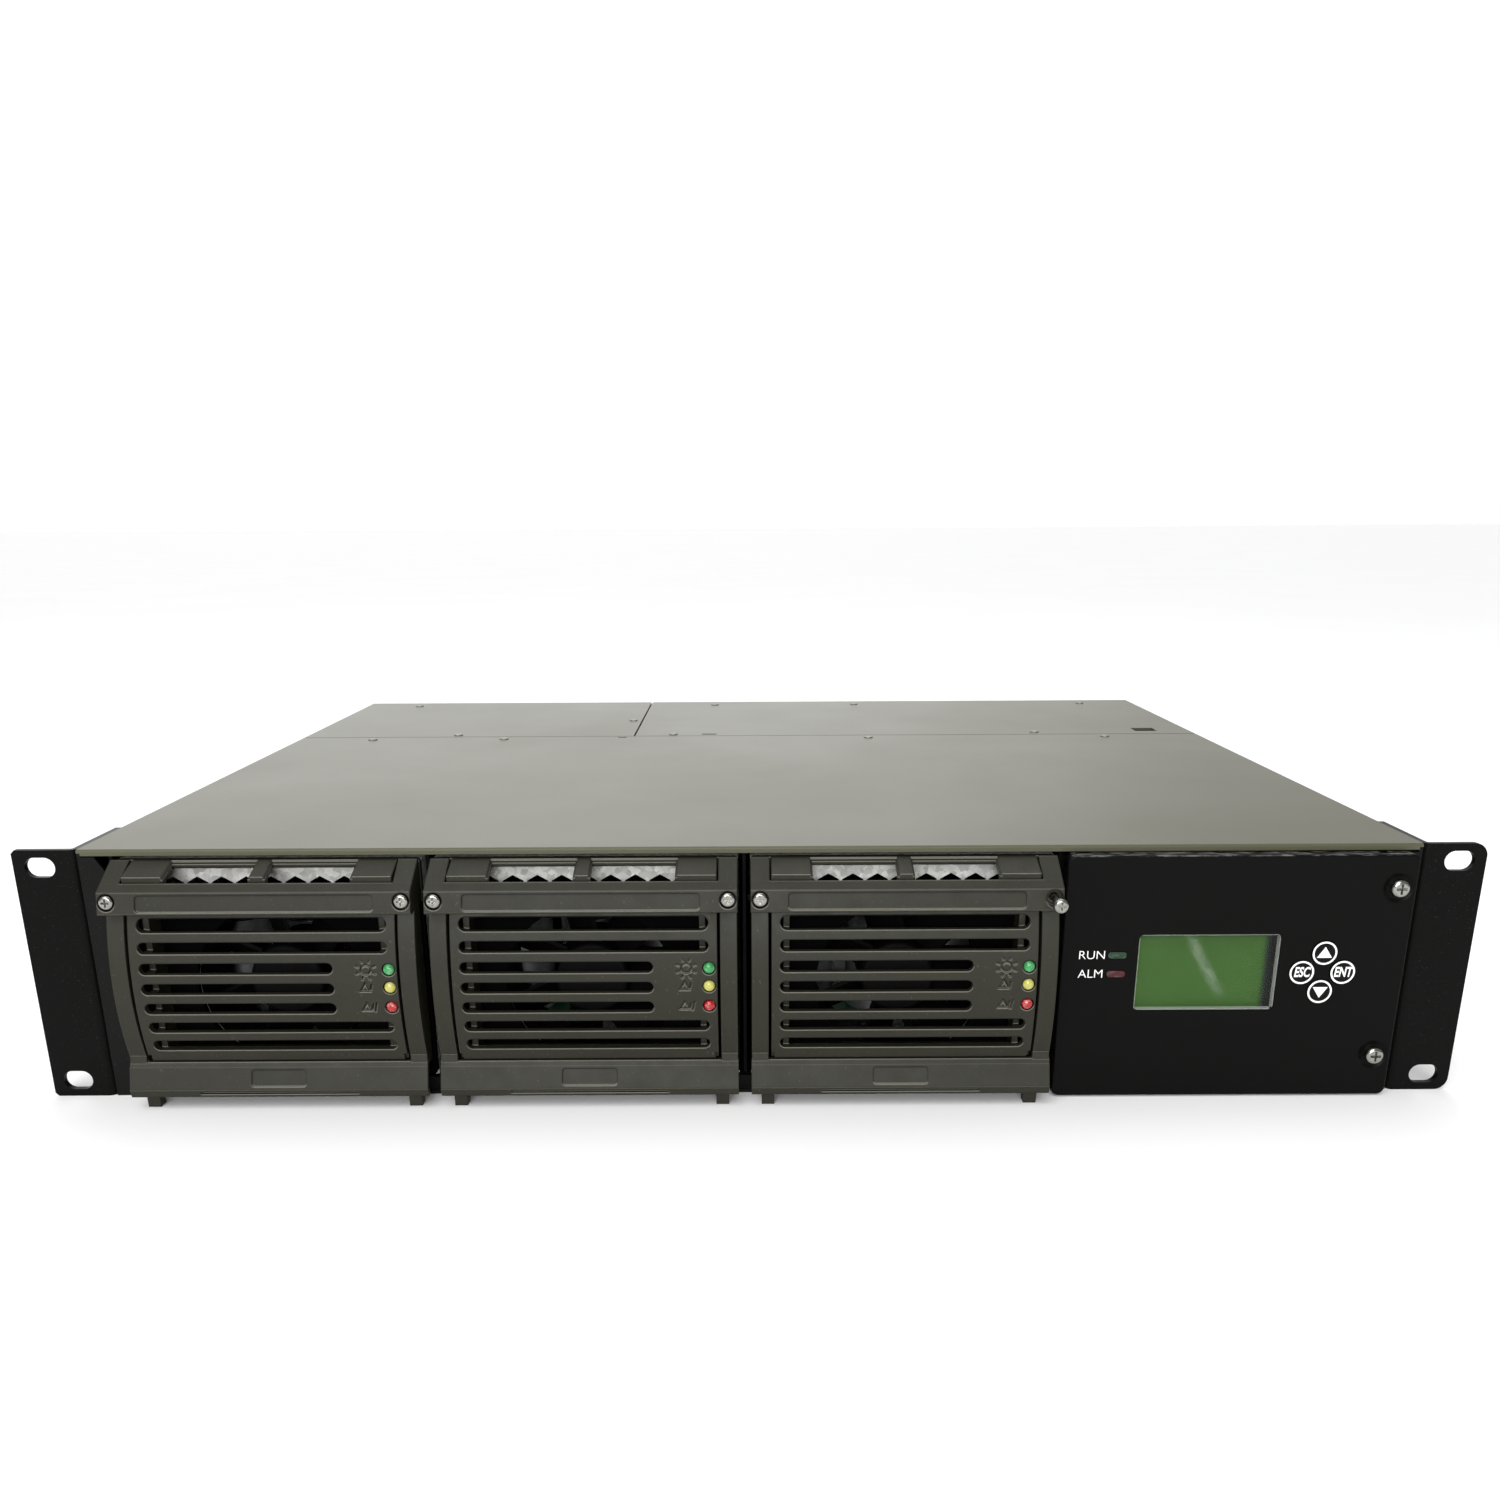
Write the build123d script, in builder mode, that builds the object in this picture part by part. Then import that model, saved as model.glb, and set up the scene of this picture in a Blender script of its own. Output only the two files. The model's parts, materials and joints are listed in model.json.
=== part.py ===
from build123d import *
import os

# A 19-inch rack power shelf, two rack units high. Three slide-in rectifier modules sit on the left,
# and a hinged control door with a display and four keys covers the battery breakers on the right.
#
# Millimetres. X runs to the right of a person facing the front, Y runs back into the rack, Z is up.
# The origin is the centre of the four rack slots, on the rear face of the ears, which is the face
# that seats on the rack. depth() and level() turn workshop measures into Y and Z.

# Rack standard
panel_width = 482.6
panel_height = 88.1
slot_spacing_x = 465.1
slot_spacing_z = 76.2
slot_length = 10.0
slot_width = 6.8
ear_thickness = 2.0

# Chassis
chassis_width = 440.0
chassis_depth = 334.0
sheet = 1.2
cover_seam = 216.0
seam_gap = 0.8
rear_cover_split = -57.0
walls_front = 0.2
lip_front = 1.2
lip_height = 6.0
rail_height = 5.0
strip_inner_x = 205.5
cover_under = panel_height - sheet
hem_bottom = 86.0
half_width = chassis_width / 2

# Module bays
module_count = 3
bay_pitch = 104.3
bays_left = -210.5
bays_right = bays_left + module_count * bay_pitch
divider_front = 3.0
divider_rear = 205.0

# Rectifier module, measured from its own centre line
case_half = 50.1
case_front = 2.5
case_rear = 196.0
case_bottom = 6.6
case_top = 84.0
case_wall = 1.0
duct_bottom = 18.8
vent_duct_bottom = 70.2
fan_size = 60.0
fan_depth = 25.0
fan_level = 40.2
fan_radius = 28.5
vent_pitch = 8.1
vent_flats = 7.0
vent_level = 74.2

# Front grille of a module
grille_half = 43.3
grille_wall = 2.2
slot_pitch = 6.9
slot_height = 3.8
top_slot_height = 4.7
middle_level = 44.2
face_edge = -9.3
face_bulge = -12.9
rib_x = 38.4
rib_wall = 2.0
led_x = 40.6
led_levels = (50.6, 44.5, 37.6)
led_radius = 1.9

# Ejector handle of a module
handle_half = 50.0
arm_inner = 44.3
arm_back = -3.0
brow_bottom = 70.0
brow_top = 77.5
brow_face_low = -14.7
brow_face_high = -13.3
pivot_depth = -7.0
pivot_level = 7.5
pin_radius = 1.5
running_gap = 0.05
toe_inner = 42.3
toe_width = 4.3
lock_x = 47.0
lock_level = 74.2
lock_head_radius = 2.35
lock_travel = 8.5

# Control door
door_left = 103.0
door_right = 217.2
door_bottom = 0.6
door_top = 85.7
door_face = -5.0
door_sheet = 1.5
door_rim_back = -0.3
hinge_x = 105.6
hinge_depth = -1.6
window_x = 151.8
window_level = 45.4
window_width = 47.0
window_height = 26.9
key_radius = 4.1
key_gap = 0.25
keypad_x = 190.0
keypad_level = 45.4
key_offset = 6.8
run_level = 51.7
alarm_level = 45.1
indicator_x = 121.5
door_screw_x = 211.2
door_screw_levels = (74.6, 15.6)

os.makedirs("parts", exist_ok=True)


def depth(distance):
    """Y of a point this far behind the front face of the ears; ahead of it is negative."""
    return distance - ear_thickness


def level(height):
    """Z of a point this far above the underside of the chassis."""
    return height - panel_height / 2


def facing(distance):
    """Sketch plane parallel to the front, with X and Z as drawn; extruding goes forward."""
    return Plane.XZ.offset(-depth(distance))


def flat(height):
    """Horizontal sketch plane, with X and Y as drawn; extruding goes up."""
    return Plane.XY.offset(level(height))


def side(x):
    """Upright sketch plane across X, with Y and Z as drawn; extruding goes to the right."""
    return Plane.YZ.offset(x)


def save(piece, node):
    """Name a finished piece and write it to its own file."""
    piece.label = node
    export_step(piece, f"parts/{node}.step")


def block(x_range, depth_range, level_range, mode=Mode.ADD):
    """Box between two X values, two depths and two levels, added to the part being built."""
    x_low, x_high = x_range
    y_low, y_high = depth(depth_range[0]), depth(depth_range[1])
    z_low, z_high = level(level_range[0]), level(level_range[1])
    with Locations(((x_low + x_high) / 2, (y_low + y_high) / 2, (z_low + z_high) / 2)):
        Box(x_high - x_low, y_high - y_low, z_high - z_low, mode=mode)


def bay_centre(number):
    """X of the centre line of module bay 1, 2 or 3."""
    return bays_left + bay_pitch * (number - 0.5)


# ---------------------------------------------------------------- chassis

ear_screw_depths = (14.0, 28.0)
ear_screw_levels = (22.0, 66.0)
cover_screws_front = ((-184.0, 209.0), (58.0, 209.5), (-120.0, 209.5), (173.5, 209.5))
cover_screws_rear = ((-145.0, 221.5), (-38.0, 221.0), (142.0, 223.0), (-61.8, 266.0), (-190.0, 322.0),
                     (-20.0, 322.0), (60.0, 322.0), (190.0, 322.0))
screw_shank = 1.5
screw_clear = 0.15


def make_chassis_tray():
    """Floor, side walls, front strips, front lip, and the welded brace under the cover seam."""
    with BuildPart() as tray:
        with BuildSketch(facing(walls_front)):
            with Locations((0, level(cover_under / 2))):
                Rectangle(chassis_width, cover_under)
            with Locations((0, level(sheet + cover_under / 2))):
                Rectangle(chassis_width - 2 * sheet, cover_under, mode=Mode.SUBTRACT)
        extrude(amount=-(chassis_depth - walls_front))
        inner = half_width - sheet
        block((-inner, bays_right - 1.4), (lip_front, lip_front + sheet), (sheet, lip_height))
        # Relief in the floor's front edge, where the corner of the door swings
        block((bays_right - 1.2, hinge_x + 4), (0, 2.4), (0, sheet), Mode.SUBTRACT)
        # Front strips: a chamfered one left of bay 1, a wider one behind the door's screws
        with BuildSketch(facing(walls_front)):
            with BuildLine():
                Polyline((-inner, level(sheet)), (bays_left, level(sheet)), (bays_left, level(79)),
                         (bays_left - 4, level(85.5)), (-inner, level(85.5)), close=True)
            make_face()
            with Locations(((strip_inner_x + inner) / 2, level(sheet + 42))):
                Rectangle(inner - strip_inner_x, 84)
        extrude(amount=-sheet)
        with BuildSketch(facing(walls_front)):
            for height in door_screw_levels:
                with Locations((door_screw_x, level(height))):
                    Circle(2.9)
        extrude(amount=-sheet, mode=Mode.SUBTRACT)
        with BuildSketch(side(-half_width - 1)):
            for distance in ear_screw_depths:
                for height in ear_screw_levels:
                    with Locations((depth(distance), level(height))):
                        Circle(screw_shank + screw_clear)
        extrude(amount=chassis_width + 2, mode=Mode.SUBTRACT)
        # Brace: a folded beam under the seam, with an end shelf along the rear edge of the covers
        block((-inner, inner), (205.5, 226), (cover_under - sheet, cover_under))
        block((-inner, inner), (226 - sheet, 226), (cover_under - 9, cover_under))
        block((-inner, inner), (316, 328), (cover_under - sheet, cover_under))
        cover_holes(cover_screws_front + cover_screws_rear)
        with BuildSketch(flat(cover_under)):
            with Locations((-20.1, depth(221.0))):
                Rectangle(9, 4)
            with Locations((-62.5, depth(212.5))):
                Rectangle(6, 3)
        extrude(amount=-sheet, mode=Mode.SUBTRACT)
    save(tray.part, "chassis_tray")


def cover_holes(places):
    """Clearance holes through the covers and the brace below, for the screws at these places."""
    spots = [(x, depth(distance), level(panel_height)) for x, distance in places]
    with Locations(*spots):
        Hole(screw_shank + screw_clear, 2 * sheet)


def make_top_cover():
    """Front cover plate with a short hem folded down along its front edge."""
    with BuildPart() as cover:
        block((-half_width, half_width), (0, cover_seam - seam_gap / 2), (cover_under, panel_height))
        block((-half_width + sheet, half_width - sheet), (0, sheet), (hem_bottom, cover_under))
        front_top = cover.edges().filter_by(Axis.X).group_by(Axis.Z)[-1].sort_by(Axis.Y)[0]
        fillet(front_top, 0.9)
        with BuildSketch(flat(panel_height)):
            with Locations((-62.5, depth(212.5))):
                RectangleRounded(4.4, 1.8, 0.6)
        extrude(amount=-sheet, mode=Mode.SUBTRACT)
        cover_holes(cover_screws_front)
    save(cover.part, "top_cover")


def make_rear_covers():
    """Two plates behind the cross seam, so that either half of the wiring can be reached alone."""
    front = cover_seam + seam_gap / 2
    spans = {"rear_cover_left": (-half_width, rear_cover_split - seam_gap / 2),
             "rear_cover_right": (rear_cover_split + seam_gap / 2, half_width)}
    for node, x_range in spans.items():
        with BuildPart() as cover:
            block(x_range, (front, chassis_depth), (cover_under, panel_height))
            if node == "rear_cover_right":
                block((193.0, 204.0), (224.5, 233.5), (cover_under, panel_height), Mode.SUBTRACT)
                with BuildSketch(flat(panel_height)):
                    with Locations((-20.1, depth(221.0))):
                        RectangleRounded(7.4, 2.6, 0.8)
                extrude(amount=-sheet, mode=Mode.SUBTRACT)
            cover_holes([spot for spot in cover_screws_rear if x_range[0] < spot[0] < x_range[1]])
        save(cover.part, node)


def make_cover_screws():
    """Small low-head screws along the seam and the rear edge of the covers."""
    with BuildPart() as screws:
        with BuildSketch(flat(panel_height)):
            for x, distance in cover_screws_front + cover_screws_rear:
                with Locations((x, depth(distance))):
                    Circle(2.2)
        extrude(amount=0.5)
        top_edges = screws.edges().group_by(Axis.Z)[-1]
        fillet(top_edges, 0.4)
        with BuildSketch(flat(panel_height)):
            for x, distance in cover_screws_front + cover_screws_rear:
                with Locations((x, depth(distance))):
                    Circle(screw_shank)
        extrude(amount=-5)
    save(screws.part, "cover_screws")


vent_slot_width = 3.0
vent_slot_height = 44.0
dc_stud_x = (141.0, 175.0)
dc_stud_level = 62.0
dc_stud_radius = 4.0
dc_shank_radius = 4.1
dc_stud_seat = chassis_depth + 6.5
earth_x = 207.0
earth_level = 20.0
earth_radius = 3.0
ac_block_x = (130.0, 190.0)
ac_block_levels = (10.0, 34.0)
insulator_x = (126.0, 190.0)
insulator_levels = (49.0, 75.0)


def make_rear_panel():
    """Back wall with an exhaust grid behind each module and openings for the terminals."""
    inner = half_width - sheet
    with BuildPart() as panel:
        block((-inner, inner), (chassis_depth - sheet, chassis_depth), (sheet, cover_under))
        with BuildSketch(facing(chassis_depth)):
            for number in range(1, module_count + 1):
                with Locations((bay_centre(number), level(middle_level))):
                    with GridLocations(6.2, 0, 13, 1):
                        SlotOverall(vent_slot_height, vent_slot_width, rotation=90)
            with Locations((sum(ac_block_x) / 2, level(sum(ac_block_levels) / 2))):
                Rectangle(54, 18)
            for x in dc_stud_x:
                with Locations((x, level(dc_stud_level))):
                    Circle(8)
            with Locations((earth_x, level(earth_level))):
                Circle(earth_radius + screw_clear)
        extrude(amount=sheet, mode=Mode.SUBTRACT)
    save(panel.part, "rear_panel")


def make_rack_ears():
    """Angle brackets: a slotted front plate for the rack and a flange screwed to the chassis."""
    outer = panel_width / 2
    for node, sign in (("rack_ear_left", -1), ("rack_ear_right", 1)):
        with BuildPart() as ear:
            with BuildSketch(flat(0)):
                with BuildLine():
                    Polyline((sign * outer, depth(0)), (sign * half_width, depth(0)),
                             (sign * half_width, depth(35)),
                             (sign * (half_width + ear_thickness), depth(35)),
                             (sign * (half_width + ear_thickness), depth(ear_thickness)),
                             (sign * outer, depth(ear_thickness)), close=True)
                make_face()
            extrude(amount=panel_height)
            uprights = ear.edges().filter_by(Axis.Z)
            bend_outside = uprights.sort_by_distance((sign * half_width, depth(0), 0))[0]
            fillet(bend_outside, 2.8)
            uprights = ear.edges().filter_by(Axis.Z)
            bend_inside = (sign * (half_width + ear_thickness), depth(ear_thickness), 0)
            fillet(uprights.sort_by_distance(bend_inside)[0], 0.8)
            corners = ear.edges().filter_by(Axis.Y).group_by(Axis.X)[0 if sign < 0 else -1]
            if sign > 0:
                fillet(corners, 4.5)
            else:
                chamfer(corners, 1.2)
            rear_corners = ear.edges().filter_by(Axis.X).group_by(Axis.Y)[-1]
            chamfer(rear_corners, 4)
            with BuildSketch(facing(0)):
                for height in ((panel_height - slot_spacing_z) / 2, (panel_height + slot_spacing_z) / 2):
                    with Locations((sign * slot_spacing_x / 2, level(height))):
                        SlotOverall(slot_length, slot_width)
            extrude(amount=-ear_thickness, mode=Mode.SUBTRACT)
            with BuildSketch(side(sign * (half_width + 1))):
                for distance in ear_screw_depths:
                    for height in ear_screw_levels:
                        with Locations((depth(distance), level(height))):
                            Circle(screw_shank + screw_clear)
            extrude(amount=4, both=True, mode=Mode.SUBTRACT)
        save(ear.part, node)


def make_ear_screws():
    """Pan-head screws that hold both ears to the side walls."""
    with BuildPart() as screws:
        for sign in (-1, 1):
            seat = side(sign * (half_width + ear_thickness))
            with BuildSketch(seat):
                for distance in ear_screw_depths:
                    for height in ear_screw_levels:
                        with Locations((depth(distance), level(height))):
                            Circle(3.0)
            extrude(amount=sign * 1.6)
            with BuildSketch(seat):
                for distance in ear_screw_depths:
                    for height in ear_screw_levels:
                        with Locations((depth(distance), level(height))):
                            Circle(screw_shank)
            extrude(amount=-sign * 5)
        fillet(screws.edges().group_by(Axis.X)[0], 1.0)
        fillet(screws.edges().group_by(Axis.X)[-1], 1.0)
    save(screws.part, "ear_screws")


def make_bay_dividers():
    """Walls between the bays. Each has a raised foot that the modules slide on."""
    with BuildPart() as dividers:
        for index in range(module_count + 1):
            x = bays_left + index * bay_pitch
            foot_left = 0.6 if index == 0 else 8.0
            foot_right = 0.6 if index == module_count else 8.0
            block((x - 0.6, x + 0.6), (divider_front, divider_rear), (sheet, cover_under - sheet))
            block((x - foot_left, x + foot_right), (divider_front, divider_rear),
                  (sheet, sheet + rail_height))
    save(dividers.part, "bay_dividers")


# ---------------------------------------------------------------- power path behind the modules

socket_half = 33.0
plug_half = 30.0
board_level = 14.0
board_thickness = 1.6
backplane_front = 213.0


def make_backplane():
    """Upright board with an edge socket behind each module, slotted for the module's board."""
    with BuildPart() as backplane:
        block((bays_left + 2, bays_right - 2), (backplane_front, backplane_front + 2), (7, 78))
        for number in range(1, module_count + 1):
            x = bay_centre(number)
            low = board_level - 4.5
            high = board_level + board_thickness + 4.5
            block((x - socket_half, x + socket_half), (199.0, backplane_front), (low, high))
            block((x - plug_half - 0.5, x + plug_half + 0.5), (199.0, 209.0),
                  (board_level - 0.4, board_level + board_thickness + 0.4), Mode.SUBTRACT)
            block((x - 8, x + 8), (backplane_front, backplane_front + 2), (sheet, 8))
    save(backplane.part, "backplane")


bar_thickness = 4.0
bar_height = 12.0
bar_front = 230.0
bar_end = 331.0
bar_bottoms = (44.0, 64.0)


def make_busbars():
    """Positive and negative copper bars behind the backplane, each with a leg to its terminal."""
    with BuildPart() as bars:
        for stud_x, bottom in zip(dc_stud_x, bar_bottoms):
            leg = stud_x + 9
            leg_end = leg + bar_thickness
            levels = (bottom, bottom + bar_height)
            block((bays_left + 6, leg_end), (bar_front, bar_front + bar_thickness), levels)
            # Posts that carry the current from the backplane
            with BuildSketch(facing(bar_front)):
                for number in range(1, module_count + 1):
                    with Locations((bay_centre(number), level(bottom + bar_height / 2))):
                        Circle(4)
            extrude(amount=bar_front - backplane_front - 2)
            block((leg, leg_end), (bar_front, bar_end), levels)
            low = min(bottom, dc_stud_level - 10)
            high = max(bottom + bar_height, dc_stud_level + 10)
            block((stud_x - 10, leg_end), (bar_end - bar_thickness, bar_end), (low, high))
            with BuildSketch(facing(bar_end)):
                with Locations((stud_x, level(dc_stud_level))):
                    Circle(dc_shank_radius + screw_clear)
            extrude(amount=bar_thickness, mode=Mode.SUBTRACT)
    save(bars.part, "busbars")


def make_terminal_insulator():
    """Moulded plate on the back wall that keeps the two output studs apart."""
    with BuildPart() as insulator:
        block(insulator_x, (bar_end, chassis_depth - sheet), insulator_levels)
        with BuildSketch(facing(chassis_depth - sheet)):
            for x in dc_stud_x:
                with Locations((x, level(dc_stud_level))):
                    Circle(7.6)
        extrude(amount=-7)
        middle = sum(dc_stud_x) / 2
        block((middle - 1.5, middle + 1.5), (chassis_depth, chassis_depth + 14), insulator_levels)
        block((insulator_x[0], insulator_x[1]), (chassis_depth, chassis_depth + 2), insulator_levels)
        with BuildSketch(facing(bar_end)):
            for x in dc_stud_x:
                with Locations((x, level(dc_stud_level))):
                    Circle(dc_shank_radius + screw_clear)
        extrude(amount=-20, mode=Mode.SUBTRACT)
        soft = insulator.edges().filter_by(Axis.Y).filter_by_position(
            Axis.Y, depth(chassis_depth), depth(chassis_depth + 3)).group_by(Axis.X)
        fillet(soft[0] + soft[-1], 2)
    save(insulator.part, "terminal_insulator")


def make_terminal_hardware():
    """Two output studs and the earth stud with their hexagon nuts, and the mains clamp screws."""
    stud_end = chassis_depth + 27
    with BuildPart() as studs:
        for x in dc_stud_x:
            with BuildSketch(facing(bar_end - bar_thickness - 5)):
                with Locations((x, level(dc_stud_level))):
                    RegularPolygon(7.5, 6)
            extrude(amount=-5)
            with BuildSketch(facing(bar_end - bar_thickness)):
                with Locations((x, level(dc_stud_level))):
                    Circle(dc_shank_radius)
            extrude(amount=-(dc_stud_seat - bar_end + bar_thickness))
            with BuildSketch(facing(dc_stud_seat)):
                with Locations((x, level(dc_stud_level))):
                    Circle(dc_stud_radius)
            extrude(amount=-(stud_end - dc_stud_seat))
        with BuildSketch(facing(chassis_depth)):
            with Locations((earth_x, level(earth_level))):
                RegularPolygon(5.8, 6)
        extrude(amount=-3)
        with BuildSketch(facing(chassis_depth - 6)):
            with Locations((earth_x, level(earth_level))):
                Circle(earth_radius)
        extrude(amount=-24)
        ends = studs.faces().filter_by(Axis.Y).group_by(Axis.Y)[-1].edges()
        chamfer(ends, 0.8)
        earth_end = studs.faces().filter_by(Axis.Y).sort_by_distance(
            (earth_x, depth(chassis_depth + 18), level(earth_level)))[0].edges()
        chamfer(earth_end, 0.6)
        # Clamp screws of the mains terminals
        for x in ac_chambers():
            with BuildSketch(facing(338)):
                with Locations((x, level(22.5))):
                    Circle(3.6)
            extrude(amount=-2.6)
            with BuildSketch(facing(340.6)):
                with Locations((x, level(22.5))):
                    Rectangle(7.4, 1.0)
            extrude(amount=1.2, mode=Mode.SUBTRACT)
    save(studs.part, "terminal_hardware")


def ac_chambers():
    """X of the three chambers of the mains terminal strip."""
    return [sum(ac_block_x) / 2 + (index - 1) * 17.4 for index in range(3)]


def make_ac_terminal_block():
    """Barrier strip for live, neutral and earth, standing in the back wall's cut-out."""
    low, high = ac_block_levels
    with BuildPart() as strip:
        block((ac_block_x[0] + 3.4, ac_block_x[1] - 3.4), (318, 345), (low + 3.4, high - 3.4))
        block(ac_block_x, (chassis_depth, chassis_depth + 3), (low, high))
        for x in ac_chambers():
            block((x - 7.2, x + 7.2), (338, 345), (low + 6, high - 5), Mode.SUBTRACT)
    save(strip.part, "ac_terminal_block")


breaker_x = (124.0, 162.0)
breaker_width = 35.6
breaker_front = 40.0
breaker_levels = (4.0, 84.0)
lever_pivot_depth = 37.0
lever_pivot_level = 46.0


def make_battery_breakers():
    """Two double-pole breakers on an angle bracket, with a pivot boss for each lever."""
    with BuildPart() as breakers:
        for x in breaker_x:
            with BuildSketch(side(x)):
                with BuildLine():
                    Polyline((depth(44), level(4)), (depth(44), level(28)), (depth(38.5), level(28)),
                             (depth(38.5), level(64)), (depth(44), level(64)), (depth(44), level(84)),
                             (depth(104), level(84)), (depth(104), level(4)), close=True)
                make_face()
            extrude(amount=breaker_width)
            block((x + 8, x + breaker_width - 8), (30, 52), (32, 60), Mode.SUBTRACT)
            with BuildSketch(side(x + 7.9)):
                with Locations((depth(lever_pivot_depth + 8), level(lever_pivot_level))):
                    Circle(1.5)
            extrude(amount=breaker_width - 15.8)
        # Angle bracket that carries them on the floor, a hair behind their backs
        bracket = (breaker_x[0] - 6, breaker_x[1] + breaker_width + 6)
        block(bracket, (104.05, 106.5), (sheet, 61))
        block(bracket, (104.05, 130), (sheet, sheet + 2.5))
    save(breakers.part, "battery_breakers")


def make_breaker_levers():
    """Toggle of each breaker: a round hub on the pivot boss with a flat finger tab."""
    hub = lever_pivot_depth + 8
    for number, x in enumerate(breaker_x, start=1):
        with BuildPart() as lever:
            with BuildSketch(side(x + 8.4)):
                with Locations((depth(hub), level(lever_pivot_level))):
                    Circle(6.5)
                with Locations(Location((depth(hub - 9.5), level(lever_pivot_level + 4.5)), -25)):
                    Rectangle(12, 4.2)
            extrude(amount=breaker_width - 16.8)
            fillet(lever.edges().filter_by(Axis.X).group_by(Axis.Y)[0], 1.2)
            with BuildSketch(side(x + 8)):
                with Locations((depth(hub), level(lever_pivot_level))):
                    Circle(1.5 + running_gap)
            extrude(amount=breaker_width - 16, mode=Mode.SUBTRACT)
        save(lever.part, f"breaker_lever_{number}")


# ---------------------------------------------------------------- rectifier modules


def make_rectifier_case(number):
    """Galvanised steel case with a fan opening, a row of hexagon vents and a rear grid."""
    x = bay_centre(number)
    with BuildPart() as case:
        block((x - case_half, x + case_half), (case_front, case_rear), (case_bottom, case_top))
        inner = case_half - case_wall
        block((x - inner, x + inner), (case_front + case_wall, case_rear - case_wall),
              (case_bottom + case_wall, case_top - case_wall), Mode.SUBTRACT)
        with BuildSketch(facing(case_front)):
            with Locations((x, level(fan_level))):
                Circle(fan_radius)
            with Locations((x, level(vent_level))):
                with GridLocations(vent_pitch, 0, 9, 1):
                    RegularPolygon(vent_flats / 2, 6, major_radius=False, rotation=30)
            for sign in (-1, 1):
                with Locations((x + sign * lock_x, level(lock_level))):
                    Circle(2.4)
        extrude(amount=-case_wall, mode=Mode.SUBTRACT)
        with BuildSketch(facing(case_rear)):
            with Locations((x, level(board_level + board_thickness / 2))):
                Rectangle(2 * plug_half + 3, 7)
            with Locations((x, level(50))):
                with GridLocations(6.0, 0, 13, 1):
                    SlotOverall(46, 3.4, rotation=90)
        extrude(amount=case_wall, mode=Mode.SUBTRACT)
    save(case.part, f"rectifier_case_{number}")


def grille_profile(x, inset):
    """Side profile of the grille's body: curved front, upright top, sloping roof. Inset thins it."""
    front = face_edge + inset
    roof = 81.4 - inset * 0.6
    ridge = 84.6 - inset
    back = case_front + (1.0 if inset else 0.0)
    with BuildSketch(side(x)) as profile:
        with BuildLine():
            foot = Line((depth(back), level(16.6 + inset)), (depth(front), level(17.4 + inset)))
            bow = ThreePointArc(foot @ 1, (depth(face_bulge + inset), level(middle_level)),
                                (depth(front), level(68.8)))
            Polyline(bow @ 1, (depth(front), level(roof)), (depth(-0.8), level(ridge)),
                     (depth(back), level(ridge)), foot @ 0)
        make_face()
    return profile.sketch


def lamp_symbols(x):
    """Marks beside the lamps: a sun, then a triangle with one wave and one with two."""
    mark_x = x + 33.2
    surface = face_bulge + 0.15
    sun, one_wave, two_waves = led_levels
    with BuildSketch(facing(surface - 2)) as marks:
        with Locations((mark_x, level(sun))):
            Circle(1.9)
            Circle(1.25, mode=Mode.SUBTRACT)
        with Locations((mark_x, level(sun))):
            with PolarLocations(2.95, 8, start_angle=22.5):
                Rectangle(1.3, 0.65)
        for height, waves in ((one_wave, 1), (two_waves, 2)):
            with Locations((mark_x - 0.6, level(height - 0.2))):
                RegularPolygon(2.3, 3, rotation=90)
                RegularPolygon(1.2, 3, rotation=90, mode=Mode.SUBTRACT)
            for wave in range(waves):
                with Locations((mark_x + 1.3 + wave, level(height))):
                    Rectangle(0.55, 2.6 + 0.8 * wave, rotation=-12)
    return marks.sketch


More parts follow.
